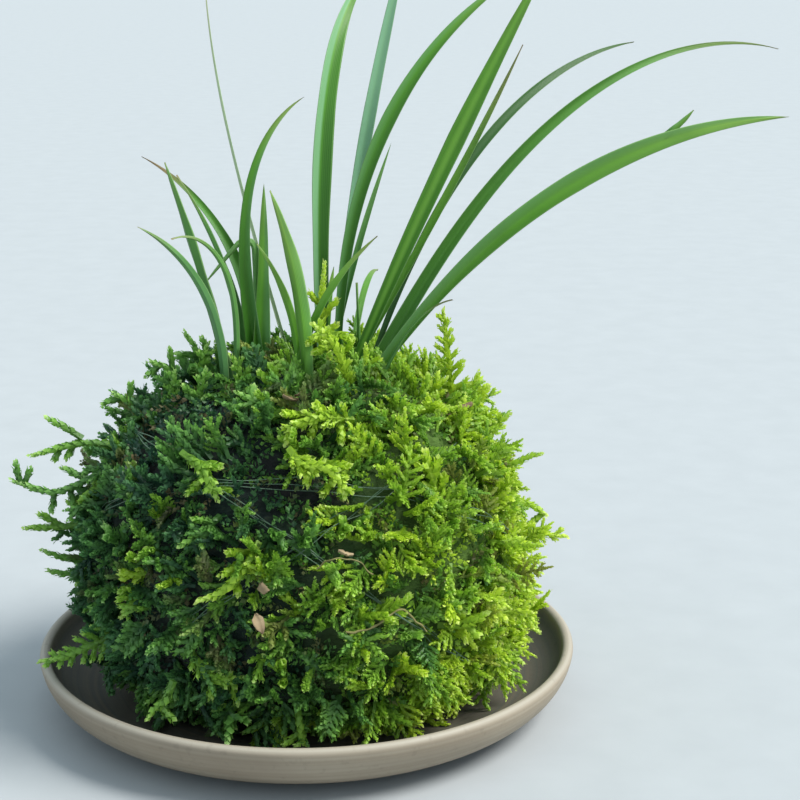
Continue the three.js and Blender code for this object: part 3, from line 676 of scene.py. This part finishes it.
def saucer_inside(radius):
    """Height of the saucer's inner surface at a distance from its axis."""
    rise = SAUCER["height"] - SAUCER["lip"] - SAUCER["floor"]
    inner_rim = SAUCER["rim"] - 2 * SAUCER["lip"]
    t = np.clip((radius - SAUCER["floor_radius"]) / (inner_rim - SAUCER["floor_radius"]), 0, 1)
    return SAUCER["floor"] + rise * t**2.6


# ---------------- saucer and soil


def bezier(a, b, c, d, count):
    t = np.linspace(0, 1, count)[:, None]
    a, b, c, d = (np.array(p, float) for p in (a, b, c, d))
    return (1 - t) ** 3 * a + 3 * t * (1 - t) ** 2 * b + 3 * t**2 * (1 - t) * c + t**3 * d


def make_saucer():
    """The saucer's skin: its profile turned round, slightly out of true."""
    height, lip, rim, foot, floor = (SAUCER[key] for key in ("height", "lip", "rim", "foot", "floor"))
    floor_radius, bevel, dip = SAUCER["floor_radius"], SAUCER["bevel"], 0.25
    top = height - lip
    outer = bezier((foot + bevel, bevel), (foot + 9, 2.5), (rim - 1.2, 7), (rim, top), 24)
    inner = bezier(
        (rim - 2 * lip, top), (rim - 4.5, 9), (floor_radius + 11, floor + 0.2), (floor_radius, floor), 24
    )
    turn = np.radians(np.linspace(0, 180, 12)[1:-1])[:, None]
    edge = [rim - lip, top] + lip * np.hstack([np.cos(turn), np.sin(turn)])
    under = [[r, 0.0] for r in (1, 20, 40, foot - 0.4)] + [[foot + 0.4, 0.25]]
    inside = [[r, floor - dip * (1 - r / floor_radius)] for r in (49, 47, 44, 36, 24, 12, 1)]
    profile = np.vstack([under, outer, edge, inner, inside])
    around = 144
    angle = np.linspace(0, 2 * np.pi, around, endpoint=False)
    radius = profile[:, :1]
    wobble = 1 + 0.0012 * np.sin(3 * angle + 1)[None, :] * smoothstep(radius, 40, 75)
    points = np.stack(
        [
            radius * wobble * np.cos(angle),
            radius * wobble * np.sin(angle),
            profile[:, 1:] + 0.12 * np.sin(2 * angle + 0.6)[None, :] * smoothstep(profile[:, 1:], 5, 17),
        ],
        -1,
    )
    first_inner = len(under) + len(outer) + len(edge)
    row = np.repeat(np.arange(len(profile)), around)
    steps = np.linalg.norm(np.diff(profile, axis=0, prepend=profile[:1]), axis=1)
    attributes = (
        ("inside", smoothstep(row.astype(float), first_inner - 2, first_inner + 3)),
        ("rim", smoothstep(np.repeat(profile[:, 1], around), 15.2, 16.8)),
        ("ring", np.repeat(np.cumsum(steps), around) * 0.45),
    )
    points, faces = capped_grid(points, [[0, 0, 0], [0, 0, floor - dip]])
    attributes = [(name, np.append(values, values[[0, -1]])) for name, values in attributes]
    piece = new_object("saucer_thrown", points, faces, attributes, smooth=True)
    finish_piece(piece, stoneware_material(), "stoneware", "saucer")


def ball_grid(rows, columns):
    """Unit vectors over a sphere, from just off the bottom to just off the top."""
    climb = np.linspace(-89.5, 89.5, rows)[:, None]
    heading = np.linspace(0, 360, columns, endpoint=False)[None, :]
    climb, heading = np.broadcast_arrays(climb, heading)
    return direction(heading, climb)


def rough(points, scale, seed):
    """A cheap smooth noise from -1 to 1 at points: a sum of sines in random directions."""
    rng = np.random.default_rng(seed)
    total = np.zeros(points.shape[:-1])
    for _ in range(10):
        wave = unit(rng.normal(size=3)) * 2 * np.pi / scale * rng.uniform(0.6, 1.9)
        total += np.sin(points @ wave + rng.uniform(0, ANY_TURN))
    return total / 3.2


def make_soil():
    """The crumbly face of the soil, which the moss hides."""
    towards = ball_grid(60, 120)
    points = towards * reach(SOIL, towards)[..., None] + [0, 0, MIDDLE]
    lumps = rough(points, 9.0, 1) + 0.6 * rough(points, 3.5, 2)
    points = points + towards * (0.6 * lumps - 0.8)[..., None]
    points, faces = capped_grid(points)
    piece = new_object("soil_crumbly", points, faces, smooth=True)
    finish_piece(piece, soil_material(), "soil", "soil_ball")


# ---------------- moss


def clad(rng, centre, thick, spread=11, sparse=False):
    """One finger of moss along a line of evenly spaced points: a core clad in overlapping leaves.

    spread is how far its leaves stand off, in degrees, and a sparse one has no core. Returns points,
    triangles and, from 0 at its foot to 1 at its tip, how fresh each point is.
    """
    count = len(centre)
    share = (np.arange(count) + 0.5) / count
    path = unit(np.gradient(centre, axis=0))
    u, v = square_to(path)
    angle = np.arange(count) * LEAF_TURN + rng.uniform(0, ANY_TURN) + rng.normal(0, 0.2, count)
    radial = u * np.cos(angle)[:, None] + v * np.sin(angle)[:, None]
    side = np.cross(path, radial)
    closing = smoothstep(share, 0.72, 1.0)
    tilt = np.radians(spread * (1 - 0.75 * closing) + rng.normal(0, 4, count))[:, None]
    leaf = np.cos(tilt) * path + np.sin(tilt) * radial
    size = thick * (0.8 + 0.3 * np.sin(np.pi * np.clip(share * 1.05, 0, 1)) - 0.12 * closing)
    size = (size * rng.uniform(0.88, 1.12, count))[:, None]
    long, wide = LEAF["length"] * size, LEAF["width"] * size
    base = centre + 0.75 * CORE_RADIUS * size * radial
    waist = base + 0.5 * long * leaf
    corners = [
        base,
        waist + 0.5 * wide * side - 0.1 * long * radial,
        base + long * leaf + 0.05 * long * radial,
        waist - 0.5 * wide * side - 0.1 * long * radial,
    ]
    points = np.stack(corners, 1).reshape(-1, 3)
    quad = np.arange(count)[:, None] * 4
    faces = np.vstack([quad + [0, 2, 1], quad + [0, 3, 2]])
    fresh = (share[:, None] + np.array([-0.25, -0.02, 0.12, -0.02])).ravel()
    if not sparse:
        rings = max(3, int(count * LEAF["spacing"] / 2.5)) + 1
        row = np.minimum((np.linspace(0, 1, rings) * count).astype(int), count - 1)
        turn = np.radians([0, 90, 180, 270])
        girth = CORE_RADIUS * thick * np.linspace(1.1, 0.45, rings)[:, None, None]
        around = u[row][:, None] * np.cos(turn)[:, None] + v[row][:, None] * np.sin(turn)[:, None]
        points = np.vstack([points, (centre[row][:, None] + girth * around).reshape(-1, 3)])
        quads = grid_faces(rings, 4, closed=True) + 4 * count
        faces = np.vstack([faces, quads[:, [0, 1, 2]], quads[:, [0, 2, 3]]])
        fresh = np.append(fresh, np.repeat(np.linspace(-0.1, 0.75, rings), 4))
    return points, faces, np.clip(fresh, 0, 1)


def curved(start, heading, bend, length, spacing):
    """Evenly spaced points from a start, whose direction turns by bend from its foot to its tip."""
    count = max(7, int(length / spacing))
    share = (np.arange(count) + 0.5) / count
    return start + np.cumsum(unit(heading + np.outer(share, bend)), 0) * (length / count)


def through(points, spacing):
    """Evenly spaced points on a smooth line through a few points."""
    points = np.asarray(points, float)
    padded = np.vstack([2 * points[0] - points[1], points, 2 * points[-1] - points[-2]])
    t = np.linspace(0, 1, 24, endpoint=False)[:, None]
    pieces = []
    for a, b, c, d in zip(padded, padded[1:], padded[2:], padded[3:]):
        square, cube = 2 * a - 5 * b + 4 * c - d, 3 * b - a - 3 * c + d
        pieces.append(0.5 * (2 * b + (c - a) * t + square * t**2 + cube * t**3))
    line = np.vstack([*pieces, points[-1:]])
    along = np.append(0, np.cumsum(np.linalg.norm(np.diff(line, axis=0), axis=1)))
    places = np.linspace(0, along[-1], max(7, int(along[-1] / spacing)))
    return np.stack([np.interp(places, along, line[:, k]) for k in range(3)], -1)


def sprig(rng, length, feathery, thick=1.2):
    """A branched shoot that grows along +Z and curves towards +X.

    A feathery one has short side fingers in two rows; the others fork like antlers.
    """
    up = np.array([0.0, 0.0, 1.0])
    bend = np.array([rng.uniform(0.2, 1.1), rng.normal(0, 0.4), 0.0])
    spacing = LEAF["spacing"]
    parts = [clad(rng, curved(np.zeros(3), up, bend, length, spacing), thick)]
    branches = int(rng.integers(7, 11) if feathery else rng.integers(2, 5))
    for k in range(branches):
        share = 0.14 + 0.66 * (k + rng.uniform(0, 0.6)) / branches
        foot = length * (up * share + bend * share**2 * 0.42)
        out = 1 if k % 2 else -1
        turn = rng.normal(0, 0.15) if feathery else rng.uniform(-0.9, 0.9)
        aside = np.array([math.sin(turn), out * math.cos(turn), 0.0])
        if feathery:
            long = 0.42 * (1.05 - share) * length
        else:
            long = rng.uniform(0.28, 0.6) * (1.1 - 0.6 * share) * length
        heading = unit(up * rng.uniform(0.6, 1.0) + aside)
        curl = up * rng.uniform(0.2, 0.7) + 0.3 * bend
        line = curved(foot, heading, curl, max(2.6, long), spacing)
        points, faces, fresh = clad(rng, line, 0.9 * thick)
        base = 0.1 + 0.3 * share
        parts.append((points, faces, base + (1 - base) * fresh))
    return fused(parts)


def placed(variant, root, growth, spin, scale):
    """A sprig turned to grow along a direction from a root."""
    u, v = square_to(growth[None])
    u, v = u[0], v[0]
    x = u * math.cos(spin) + v * math.sin(spin)
    y = np.cross(growth, x)
    return root + scale * variant @ np.stack([x, y, growth])


def moss_tone(points):
    """From 0, dark blue-green, to 1, yellow-green, in patches; brighter towards the right with painted
    light, darker to the left with painted shade.
    """
    sideways = points[..., 0] / MOSS["radius"]
    height = (points[..., 2] - MIDDLE) / MOSS["up"]
    patches = 0.12 * rough(points, 38.0, 21) + 0.08 * rough(points, 16.0, 22)
    # The sideways term is painted light and shade: brighter on the lit right, darker on the shaded left.
    return 0.5 + 0.5 * sideways - 0.06 * height + patches


def golden_spread(count):
    """Unit vectors spread evenly over a sphere."""
    height = 1 - (2 * np.arange(count) + 1) / count
    return direction(np.arange(count) * GOLDEN_ANGLE, np.degrees(np.arcsin(height)))


def near_crown(points):
    """How far points stand from the nearest crown of grass, seen from above."""
    x, y = points[..., 0], points[..., 1]
    return np.min([np.hypot(x - at_x, y - at_y) - radius for at_x, at_y, radius in CROWNS.values()], axis=0)


def rest_in_saucer(points):
    """Moss that would pass through the saucer lies on it instead."""
    low = saucer_inside(np.hypot(points[:, 0], points[:, 1])) + SAUCER_GAP
    sunk = np.clip(low - points[:, 2], 0, 4)
    points[:, 2] = np.where(sunk > 0, low + 0.1 * sunk, points[:, 2])
    return points


def planted(spots, depth):
    """Roots on the moss mat at unit vectors, sunk by a depth, with the mat's normals there."""
    normals = moss_normal(spots)
    return moss_surface(spots) - normals * np.broadcast_to(depth, (len(spots),))[:, None], normals


def within(places, points):
    """From 0 to 1 in the middle of the nearest of some round places (x, y, z, radius)."""
    nearness = [
        1 - smoothstep(np.linalg.norm(points - [x, y, z], axis=-1), 0.5 * radius, 1.2 * radius)
        for x, y, z, radius in places
    ]
    return np.max(nearness, axis=0)


def bare(root, clear):
    """Whether a root stands in a crown of grass or under the ball."""
    return (root[2] > CROWN_LEVEL and clear < CROWN_CLEAR) or root[2] < LOWEST_ROOT


def lay(sheets, root, points, faces, fresh, tone, dead=0.0):
    """Adds a shoot, with its looks, to the sheet that its root stands in."""
    looks = np.stack(np.broadcast_arrays(fresh, tone, dead), -1)
    sheets[sheet_number(root)].append((points, faces, looks))


def add_undergrowth(rng, sheets):
    """Short dim shoots that lie close to the felt."""
    variants = []
    for _ in range(16):
        line = curved(np.zeros(3), [0, 0, 1], [rng.uniform(0.2, 0.9), 0, 0], rng.uniform(5, 8), 0.5)
        variants.append(clad(rng, line, 1.1, spread=28, sparse=True))
    spots = unit(golden_spread(UNDERGROWTH) + rng.normal(0, 0.03, (UNDERGROWTH, 3)))
    roots, normals = planted(spots, 2.4)
    tones, clear = moss_tone(roots), near_crown(roots)
    # Painted shade: shoots in the hollows are drawn dimmer.
    light = 1 - 0.7 * within(HOLLOWS, roots)
    for normal, root, tone, room, bright in zip(normals, roots, tones, clear, light):
        if bare(root, room):
            continue
        aside = rng.normal(size=3)
        growth = unit(normal * rng.uniform(0.15, 0.55) + unit(aside - normal * (aside @ normal)))
        points, faces, fresh = variants[rng.integers(len(variants))]
        made = rest_in_saucer(placed(points, root, growth, rng.uniform(0, ANY_TURN), rng.uniform(0.8, 1.2)))
        own = np.clip(tone - 0.1 + rng.normal(0, 0.1), 0, 1)
        dead = float(rng.random() < BROWNED) * rng.uniform(0.3, 0.9)
        lay(sheets, root, made, faces, (0.5 + 0.5 * own) * bright * fresh, own, dead)


def add_sprigs(rng, sheets):
    """Branched shoots in clumps, which lean outwards from their clump's middle and towards the light."""
    mixed = [sprig(rng, rng.uniform(9, 14), k % 3 == 0) for k in range(30)]
    ferns = [sprig(rng, rng.uniform(10, 16), True, 0.95) for _ in range(20)]
    stout = [sprig(rng, rng.uniform(10, 14), False, 1.7) for _ in range(10)]
    spots = unit(golden_spread(SPRIGS) + rng.normal(0, 0.03, (SPRIGS, 3)))
    clumps = unit(golden_spread(CLUMPS) + rng.normal(0, 0.06, (CLUMPS, 3)))
    clump_tones = np.clip(rng.normal(0, 0.12, CLUMPS), -0.15, 0.2)
    clump_leans = rng.normal(0, 0.5, (CLUMPS, 3))
    nearest = np.argsort(-(spots @ clumps.T), axis=1)[:, :2]
    to_own, to_next = (np.linalg.norm(spots - clumps[nearest[:, k]], axis=1) for k in (0, 1))
    edge = 2 * to_own / (to_own + to_next)
    deep = within(HOLLOWS, moss_surface(spots))
    roots, normals = planted(spots, 1.2 + 2.6 * smoothstep(edge, 0.55, 1.0) + 3.0 * deep)
    # Painted shade: shoots in the hollows get a darker tone.
    tones, clear = moss_tone(roots) - 0.25 * deep, near_crown(roots)
    dry, close = within(DRY_PATCHES, roots), within(CLOSE_PATCHES, roots)
    for k in range(SPRIGS):
        spot, normal, root, clump = spots[k], normals[k], roots[k], nearest[k, 0]
        if bare(root, clear[k]) or rng.random() < 0.6 * deep[k]:
            continue
        aside = unit(spot - clumps[clump]) * smoothstep(edge[k], 0.1, 0.7)
        aside = aside + clump_leans[clump] + rng.normal(0, 0.35, 3)
        aside = aside - normal * (aside @ normal)
        growth = unit(normal * rng.uniform(0.3, 0.85) + 0.8 * aside + LIGHT_SIDE + [0, 0, -0.12])
        lively = float(rng.random() < LIVELY)
        kinds = ferns if rng.random() < smoothstep(tones[k], 0.35, 0.8) else mixed
        kinds = stout if lively and rng.random() < 0.5 else kinds
        points, faces, fresh = kinds[rng.integers(len(kinds))]
        size = rng.uniform(0.65, 1.2) * (1 - 0.4 * deep[k]) * (1 - 0.45 * close[k])
        made = rest_in_saucer(placed(points, root, growth, rng.uniform(0, ANY_TURN), size))
        dead = float(rng.random() < DEAD + 0.5 * dry[k]) * rng.uniform(0.3, 0.65)
        own = np.clip(tones[k] + clump_tones[clump] + rng.normal(0, 0.08) + 0.28 * lively, 0, 1)
        # Painted shade: the hollows also take away a shoot's freshness, so it is drawn darker.
        vigour = np.clip(rng.uniform(0.4, 0.9) + 0.5 * own + 0.3 * lively, 0, 1) * (1 - 0.7 * deep[k])
        lay(sheets, root, made, faces, vigour * fresh, own, dead)


def add_strays(rng, sheets):
    """The shoots that are placed one by one, with feathery side fingers on the first finger of some."""
    for name, (depth, tone, feathers, *fingers) in STRAYS.items():
        stout = name in STOUT_STRAYS
        thick = STRAY_THICKNESS["stout" if stout else "plain"]
        parts = []
        for number, line in enumerate(fingers):
            line = np.array([(x, depth + 0.3 * number, z) for x, z in line], float)
            line[1:] += rng.normal(0, 0.25, line[1:].shape)
            root = line[0].copy() if number == 0 else root
            if stout:
                line[0, 1] += 5.0
            line = through(line, LEAF["spacing"])
            points, faces, fresh = clad(rng, line, thick)
            parts.append((points, faces, 0.2 + 0.8 * fresh))
            if number or not feathers:
                continue
            out = unit(np.gradient(line, axis=0))
            for k, place in enumerate(range(6, len(line) - 5, 4)):
                share = place / len(line)
                aside = np.cross(out[place], [0, 1, 0]) * (1 if k % 2 else -1) + rng.normal(0, 0.25, 3)
                long = max(2.2, feathers * (1.05 - share) * rng.uniform(0.8, 1.1))
                heading = unit(out[place] * 0.7 + aside)
                side = curved(line[place], heading, 0.5 * out[place], long, LEAF["spacing"])
                points, faces, fresh = clad(rng, side, 1.15)
                parts.append((points, faces, 0.35 + 0.65 * fresh))
        lay(sheets, root, *fused(parts), tone)


def make_moss():
    """All the shoots, sheet by sheet, in pieces that aren't too large."""
    rng = np.random.default_rng(5)
    sheets = [[] for _ in SHEETS]
    add_undergrowth(rng, sheets)
    add_sprigs(rng, sheets)
    add_strays(rng, sheets)
    material = moss_material()
    for name, shoots in zip(SHEETS, sheets):
        sizes = np.cumsum([len(faces) for _, faces, _ in shoots])
        groups = int(np.ceil(sizes[-1] / MOST_TRIANGLES))
        group_of = np.minimum((sizes - 1) * groups // sizes[-1], groups - 1)
        for group in range(groups):
            points, faces, looks = fused([shoots[k] for k in np.flatnonzero(group_of == group)])
            attributes = list(zip(MOSS_LOOKS, looks.T))
            piece = new_object(f"moss_{name}_shoots_{group + 1}", points, faces, attributes)
            # The left sheet is the shaded side, painted darker through its tone.
            slot = "moss_dark" if name == "left" else "moss_bright"
            finish_piece(piece, material, slot, f"moss_sheet_{name}")


def make_mat():
    """The felt below the shoots."""
    towards = ball_grid(84, 180)
    points = moss_surface(towards, -FELT_DEPTH)
    lumps = 0.9 * rough(points, 7.0, 31) + 0.5 * rough(points, 3.0, 32)
    points = points + towards * lumps[..., None]
    clear = smoothstep(near_crown(points), -1.0, 4.0)
    points[..., 2] -= (1 - clear) * (points[..., 2] > MIDDLE) * FELT_SINK
    points, faces = capped_grid(points)
    points[:, 2] = np.maximum(points[:, 2], SAUCER["floor"] + SAUCER_GAP)
    piece = new_object("moss_felt_and_gap_shade", points, faces, [("hollow_shade", within(HOLLOWS, points))], smooth=True)
    finish_piece(piece, mat_material(), "moss_dark")


# ---------------- thread and litter


def tube(path, radius, sides, closed=False):
    """Points and quads of a round tube along a path."""
    step = np.roll(path, -1, 0) - np.roll(path, 1, 0)
    if not closed:
        step[0], step[-1] = path[1] - path[0], path[-1] - path[-2]
    u, v = square_to(unit(step))
    angle = np.linspace(0, 2 * np.pi, sides, endpoint=False)
    ring = u[:, None] * np.cos(angle)[:, None] + v[:, None] * np.sin(angle)[:, None]
    size = np.broadcast_to(np.asarray(radius, float), (len(path),))[:, None, None]
    points = (path[:, None] + ring * size).reshape(-1, 3)
    faces = grid_faces(len(path), sides, closed=True)
    if closed:
        last = (len(path) - 1) * sides + np.arange(sides)
        first = np.arange(sides)
        faces = np.vstack([faces, np.stack([last, np.roll(last, -1), np.roll(first, -1), first], -1)])
    return points, faces


def make_thread():
    """Fine thread in turns round the ball. It bites into the moss, and comes up here and there."""
    angle = np.linspace(0, 2 * np.pi, 240, endpoint=False)
    strands = []
    for uphill, tilt in TURNS:
        high, level = direction(uphill, tilt), direction(uphill + 90, 0)
        towards = np.cos(angle)[:, None] * high + np.sin(angle)[:, None] * level
        pole = np.cross(high, level)
        for number, aside in enumerate(STRANDS):
            path = moss_surface(towards, THREAD_LIFT)
            rise = 1.2 * rough(path, 45.0, 41) + 0.5 * rough(path, 20.0, 42 + number)
            path = path + towards * rise[:, None]
            path = path + pole * (aside + 0.8 * rough(path, 30.0, 45 + number))[:, None]
            strands.append(tube(path, THREAD_RADIUS, 5, closed=True))
    piece = new_object("binding_thread_nylon", *fused(strands), smooth=True)
    finish_piece(piece, thread_material(), "thread", "binding_thread")


def flake_mesh(rng, x, y, z, length, width, heading, climb):
    """A thin curled flake: points and quads of its closed skin."""
    rows, columns = 9, 5
    share = np.linspace(0, 1, rows)[:, None]
    place = np.linspace(-1, 1, columns)[None]
    along = direction(heading, climb)
    u, v = square_to(along[None])
    half = 0.5 * width * (0.15 + np.sin(np.pi * share**0.8)) * (1 + 0.15 * rng.normal(size=(rows, 1)))
    curl = 0.3 * width * place**2 + 0.25 * length * (share - 0.5) ** 2
    lift = curl + 0.08 * rng.normal(size=(rows, columns))
    middle = (x, y, z) + along * ((share - 0.5) * length)[..., None] + u[0] * (half * place)[..., None]
    upper, lower = (middle + v[0] * (lift + side)[..., None] for side in (0.12, -0.12))
    ring = np.concatenate([upper, lower[:, ::-1]], 1)
    return ring.reshape(-1, 3), grid_faces(rows, 2 * columns, closed=True)


def make_litter():
    """The flakes and dry stems that lie on the moss."""
    rng = np.random.default_rng(13)
    flakes = [flake_mesh(rng, *flake) for flake in FLAKES]
    stems = []
    for radius, line in STEMS:
        path = through(line, 0.5)
        path = path + 0.25 * np.stack([rough(path, 6.0, 61 + k) for k in range(3)], -1)
        stems.append(tube(path, radius * (1 + 0.25 * rough(path, 3.0, 64)), 8))
    points, faces = fused(flakes + stems)
    is_stem = np.arange(len(points)) >= sum(len(own) for own, _ in flakes)
    piece = new_object("moss_litter", points, faces, [("stem", is_stem)], smooth=True)
    finish_piece(piece, litter_material(), "moss_dark")


# ---------------- grass


def blade_path(blade, fold, steps, foot):
    """Shares, middle line and directions of a blade."""
    fallen, at = fold

    def towards(share):
        folded = fallen * smoothstep(share, at - 0.06, at + 0.06)
        return direction(blade.heading, 90 - blade.lean - blade.droop * share**blade.bend - folded)

    share = np.linspace(0, 1, steps)
    step = towards((share[1:] + share[:-1]) / 2) * (blade.length / (steps - 1))
    centre = np.vstack([np.zeros(3), np.cumsum(step, 0)]) + foot
    return share, centre, towards(share)


def width_at(share, width, sheath, taper=TAPER):
    """How wide a blade is at a share of its length: full beyond its sheath, then narrower to its tip."""
    start = max(sheath * width, NARROWEST)
    return (start + (width - start) * np.minimum(1, share / FULL_AT)) * (1 - share**taper) ** 0.9


def blade_mesh(rng, blade, shape, fold, foot):
    """A creased leaf, thickest at its rib. Returns points, quads and values at points."""
    steps, half_steps = 56, 6
    share, centre, along = blade_path(blade, fold, steps, foot)
    level = direction(blade.heading + 90, 0.0)[None, :]
    twist = np.radians(blade.turn + 14 * np.sin(share * 3.1 + rng.uniform(0, 6)) * share)[:, None]
    across = level * np.cos(twist) + np.cross(along, level) * np.sin(twist)
    across = unit(across - along * np.sum(across * along, 1, keepdims=True))
    face = np.cross(along, across)
    width = width_at(share, blade.width, **shape)[:, None]
    place = np.linspace(-1, 1, 2 * half_steps + 1)
    crease = 0.36 * width * (1.4 - share)[:, None] * (np.abs(place) ** 1.2)[None]
    ripple = 0.05 * width * np.sin(share * 23 + rng.uniform(0, 6))[:, None]
    lift = crease + ripple * place[None] ** 2 * np.sign(place)[None]
    thick = 0.13 + 0.2 * (1 - np.abs(place)) ** 2
    middle = centre[:, None] + across[:, None] * (0.5 * width * place)[..., None]
    upper, lower = (middle + face[:, None] * skin[..., None] for skin in (lift + thick, lift - thick))
    ring = np.concatenate([upper, lower[:, ::-1]], 1)
    columns = ring.shape[1]
    dry = 1.4 * blade.look.get("dry", 0.0) * smoothstep(share, 0.72, 1.0)
    dry = dry + 0.5 * smoothstep(share, 0.97, 1.0)
    values = [
        np.concatenate([place, place[::-1]]),
        share[:, None],
        np.clip(dry, 0, 1)[:, None],
        *(blade.look.get(name, 0.0) for name in LOOK_NAMES),
    ]
    values = np.stack([np.broadcast_to(value, (steps, columns)).ravel() for value in values], -1)
    return ring.reshape(-1, 3), grid_faces(steps, columns, closed=True), values


def tuft_meshes(rng, tuft):
    """The leaves of one tuft, with their split tips."""
    for name, row in BLADES.items():
        blade = Blade(*row)
        if blade.tuft != tuft:
            continue
        fold = FOLDS.get(name, (0, 1))
        foot = [blade.x, blade.y, FOOT]
        shape = {"sheath": SHEATHS[tuft], **OWN_SHAPES.get(name, {})}
        yield blade_mesh(rng, blade, shape, fold, foot)
        if name in SPLIT_TIPS:
            at, droop, length, width = SPLIT_TIPS[name]
            _, centre, _ = blade_path(blade, fold, 101, foot)
            lean = blade.lean + blade.droop * at**blade.bend
            tip = blade._replace(lean=lean, droop=droop, bend=1, length=length, width=width)
            yield blade_mesh(rng, tip, shape, (0, 1), centre[round(100 * at)] + [0, SPLIT_ASIDE, 0])


def make_grass():
    """Each tuft's leaves, as one piece."""
    rng = np.random.default_rng(9)
    material = grass_material()
    for tuft in CROWNS:
        points, faces, values = fused(tuft_meshes(rng, tuft))
        attributes = list(zip(("across", "along", "dry", *LOOK_NAMES), values.T))
        piece = new_object(f"grass_{tuft}_leaves", points, faces, attributes, smooth=True)
        finish_piece(piece, material, "grass", f"grass_tuft_{tuft}")


# ---------------- stage, light and camera


def make_stage():
    """A pale floor under an even sky, with soft light from a window at the right."""
    size = 40_000.0
    corners = [[-size, -size, 0], [size, -size, 0], [size, size, 0], [-size, size, 0]]
    floor = new_object("floor", corners, np.array([[0, 1, 2, 3]]))
    floor.data.materials.append(floor_material())

    world = bpy.data.worlds.new("studio")
    world.use_nodes = True
    sky = world.node_tree.nodes["Background"]
    sky.inputs["Color"].default_value = rgb(206, 224, 234)
    sky.inputs["Strength"].default_value = 1.15
    bpy.context.scene.world = world

    light = bpy.data.lights.new("window", "SUN")
    light.energy = 4.6
    light.angle = math.radians(28)
    light.color = (1.0, 0.98, 0.93)
    sun = bpy.data.objects.new("window", light)
    bpy.context.scene.collection.objects.link(sun)
    sun.rotation_euler = (math.radians(38), 0.0, math.radians(76))


def make_camera():
    """A long lens in front of the ball, a little above it, turned slightly to the right.

    Its place is in metres.
    """
    camera = bpy.data.cameras.new("camera")
    camera.sensor_width = 36.0
    camera.lens = 81.0
    camera.clip_start = 0.01
    view = bpy.data.objects.new("camera", camera)
    bpy.context.scene.collection.objects.link(view)
    view.location = (0.0, -0.47863, 0.21193)
    down, right = 14.78, 3.13
    view.rotation_euler = (math.radians(90 - down), 0.0, math.radians(-right))
    bpy.context.scene.camera = view


make_camera()
make_stage()
make_saucer()
make_soil()
make_mat()
make_moss()
make_thread()
make_litter()
make_grass()

bpy.context.scene.view_settings.view_transform = "Standard"
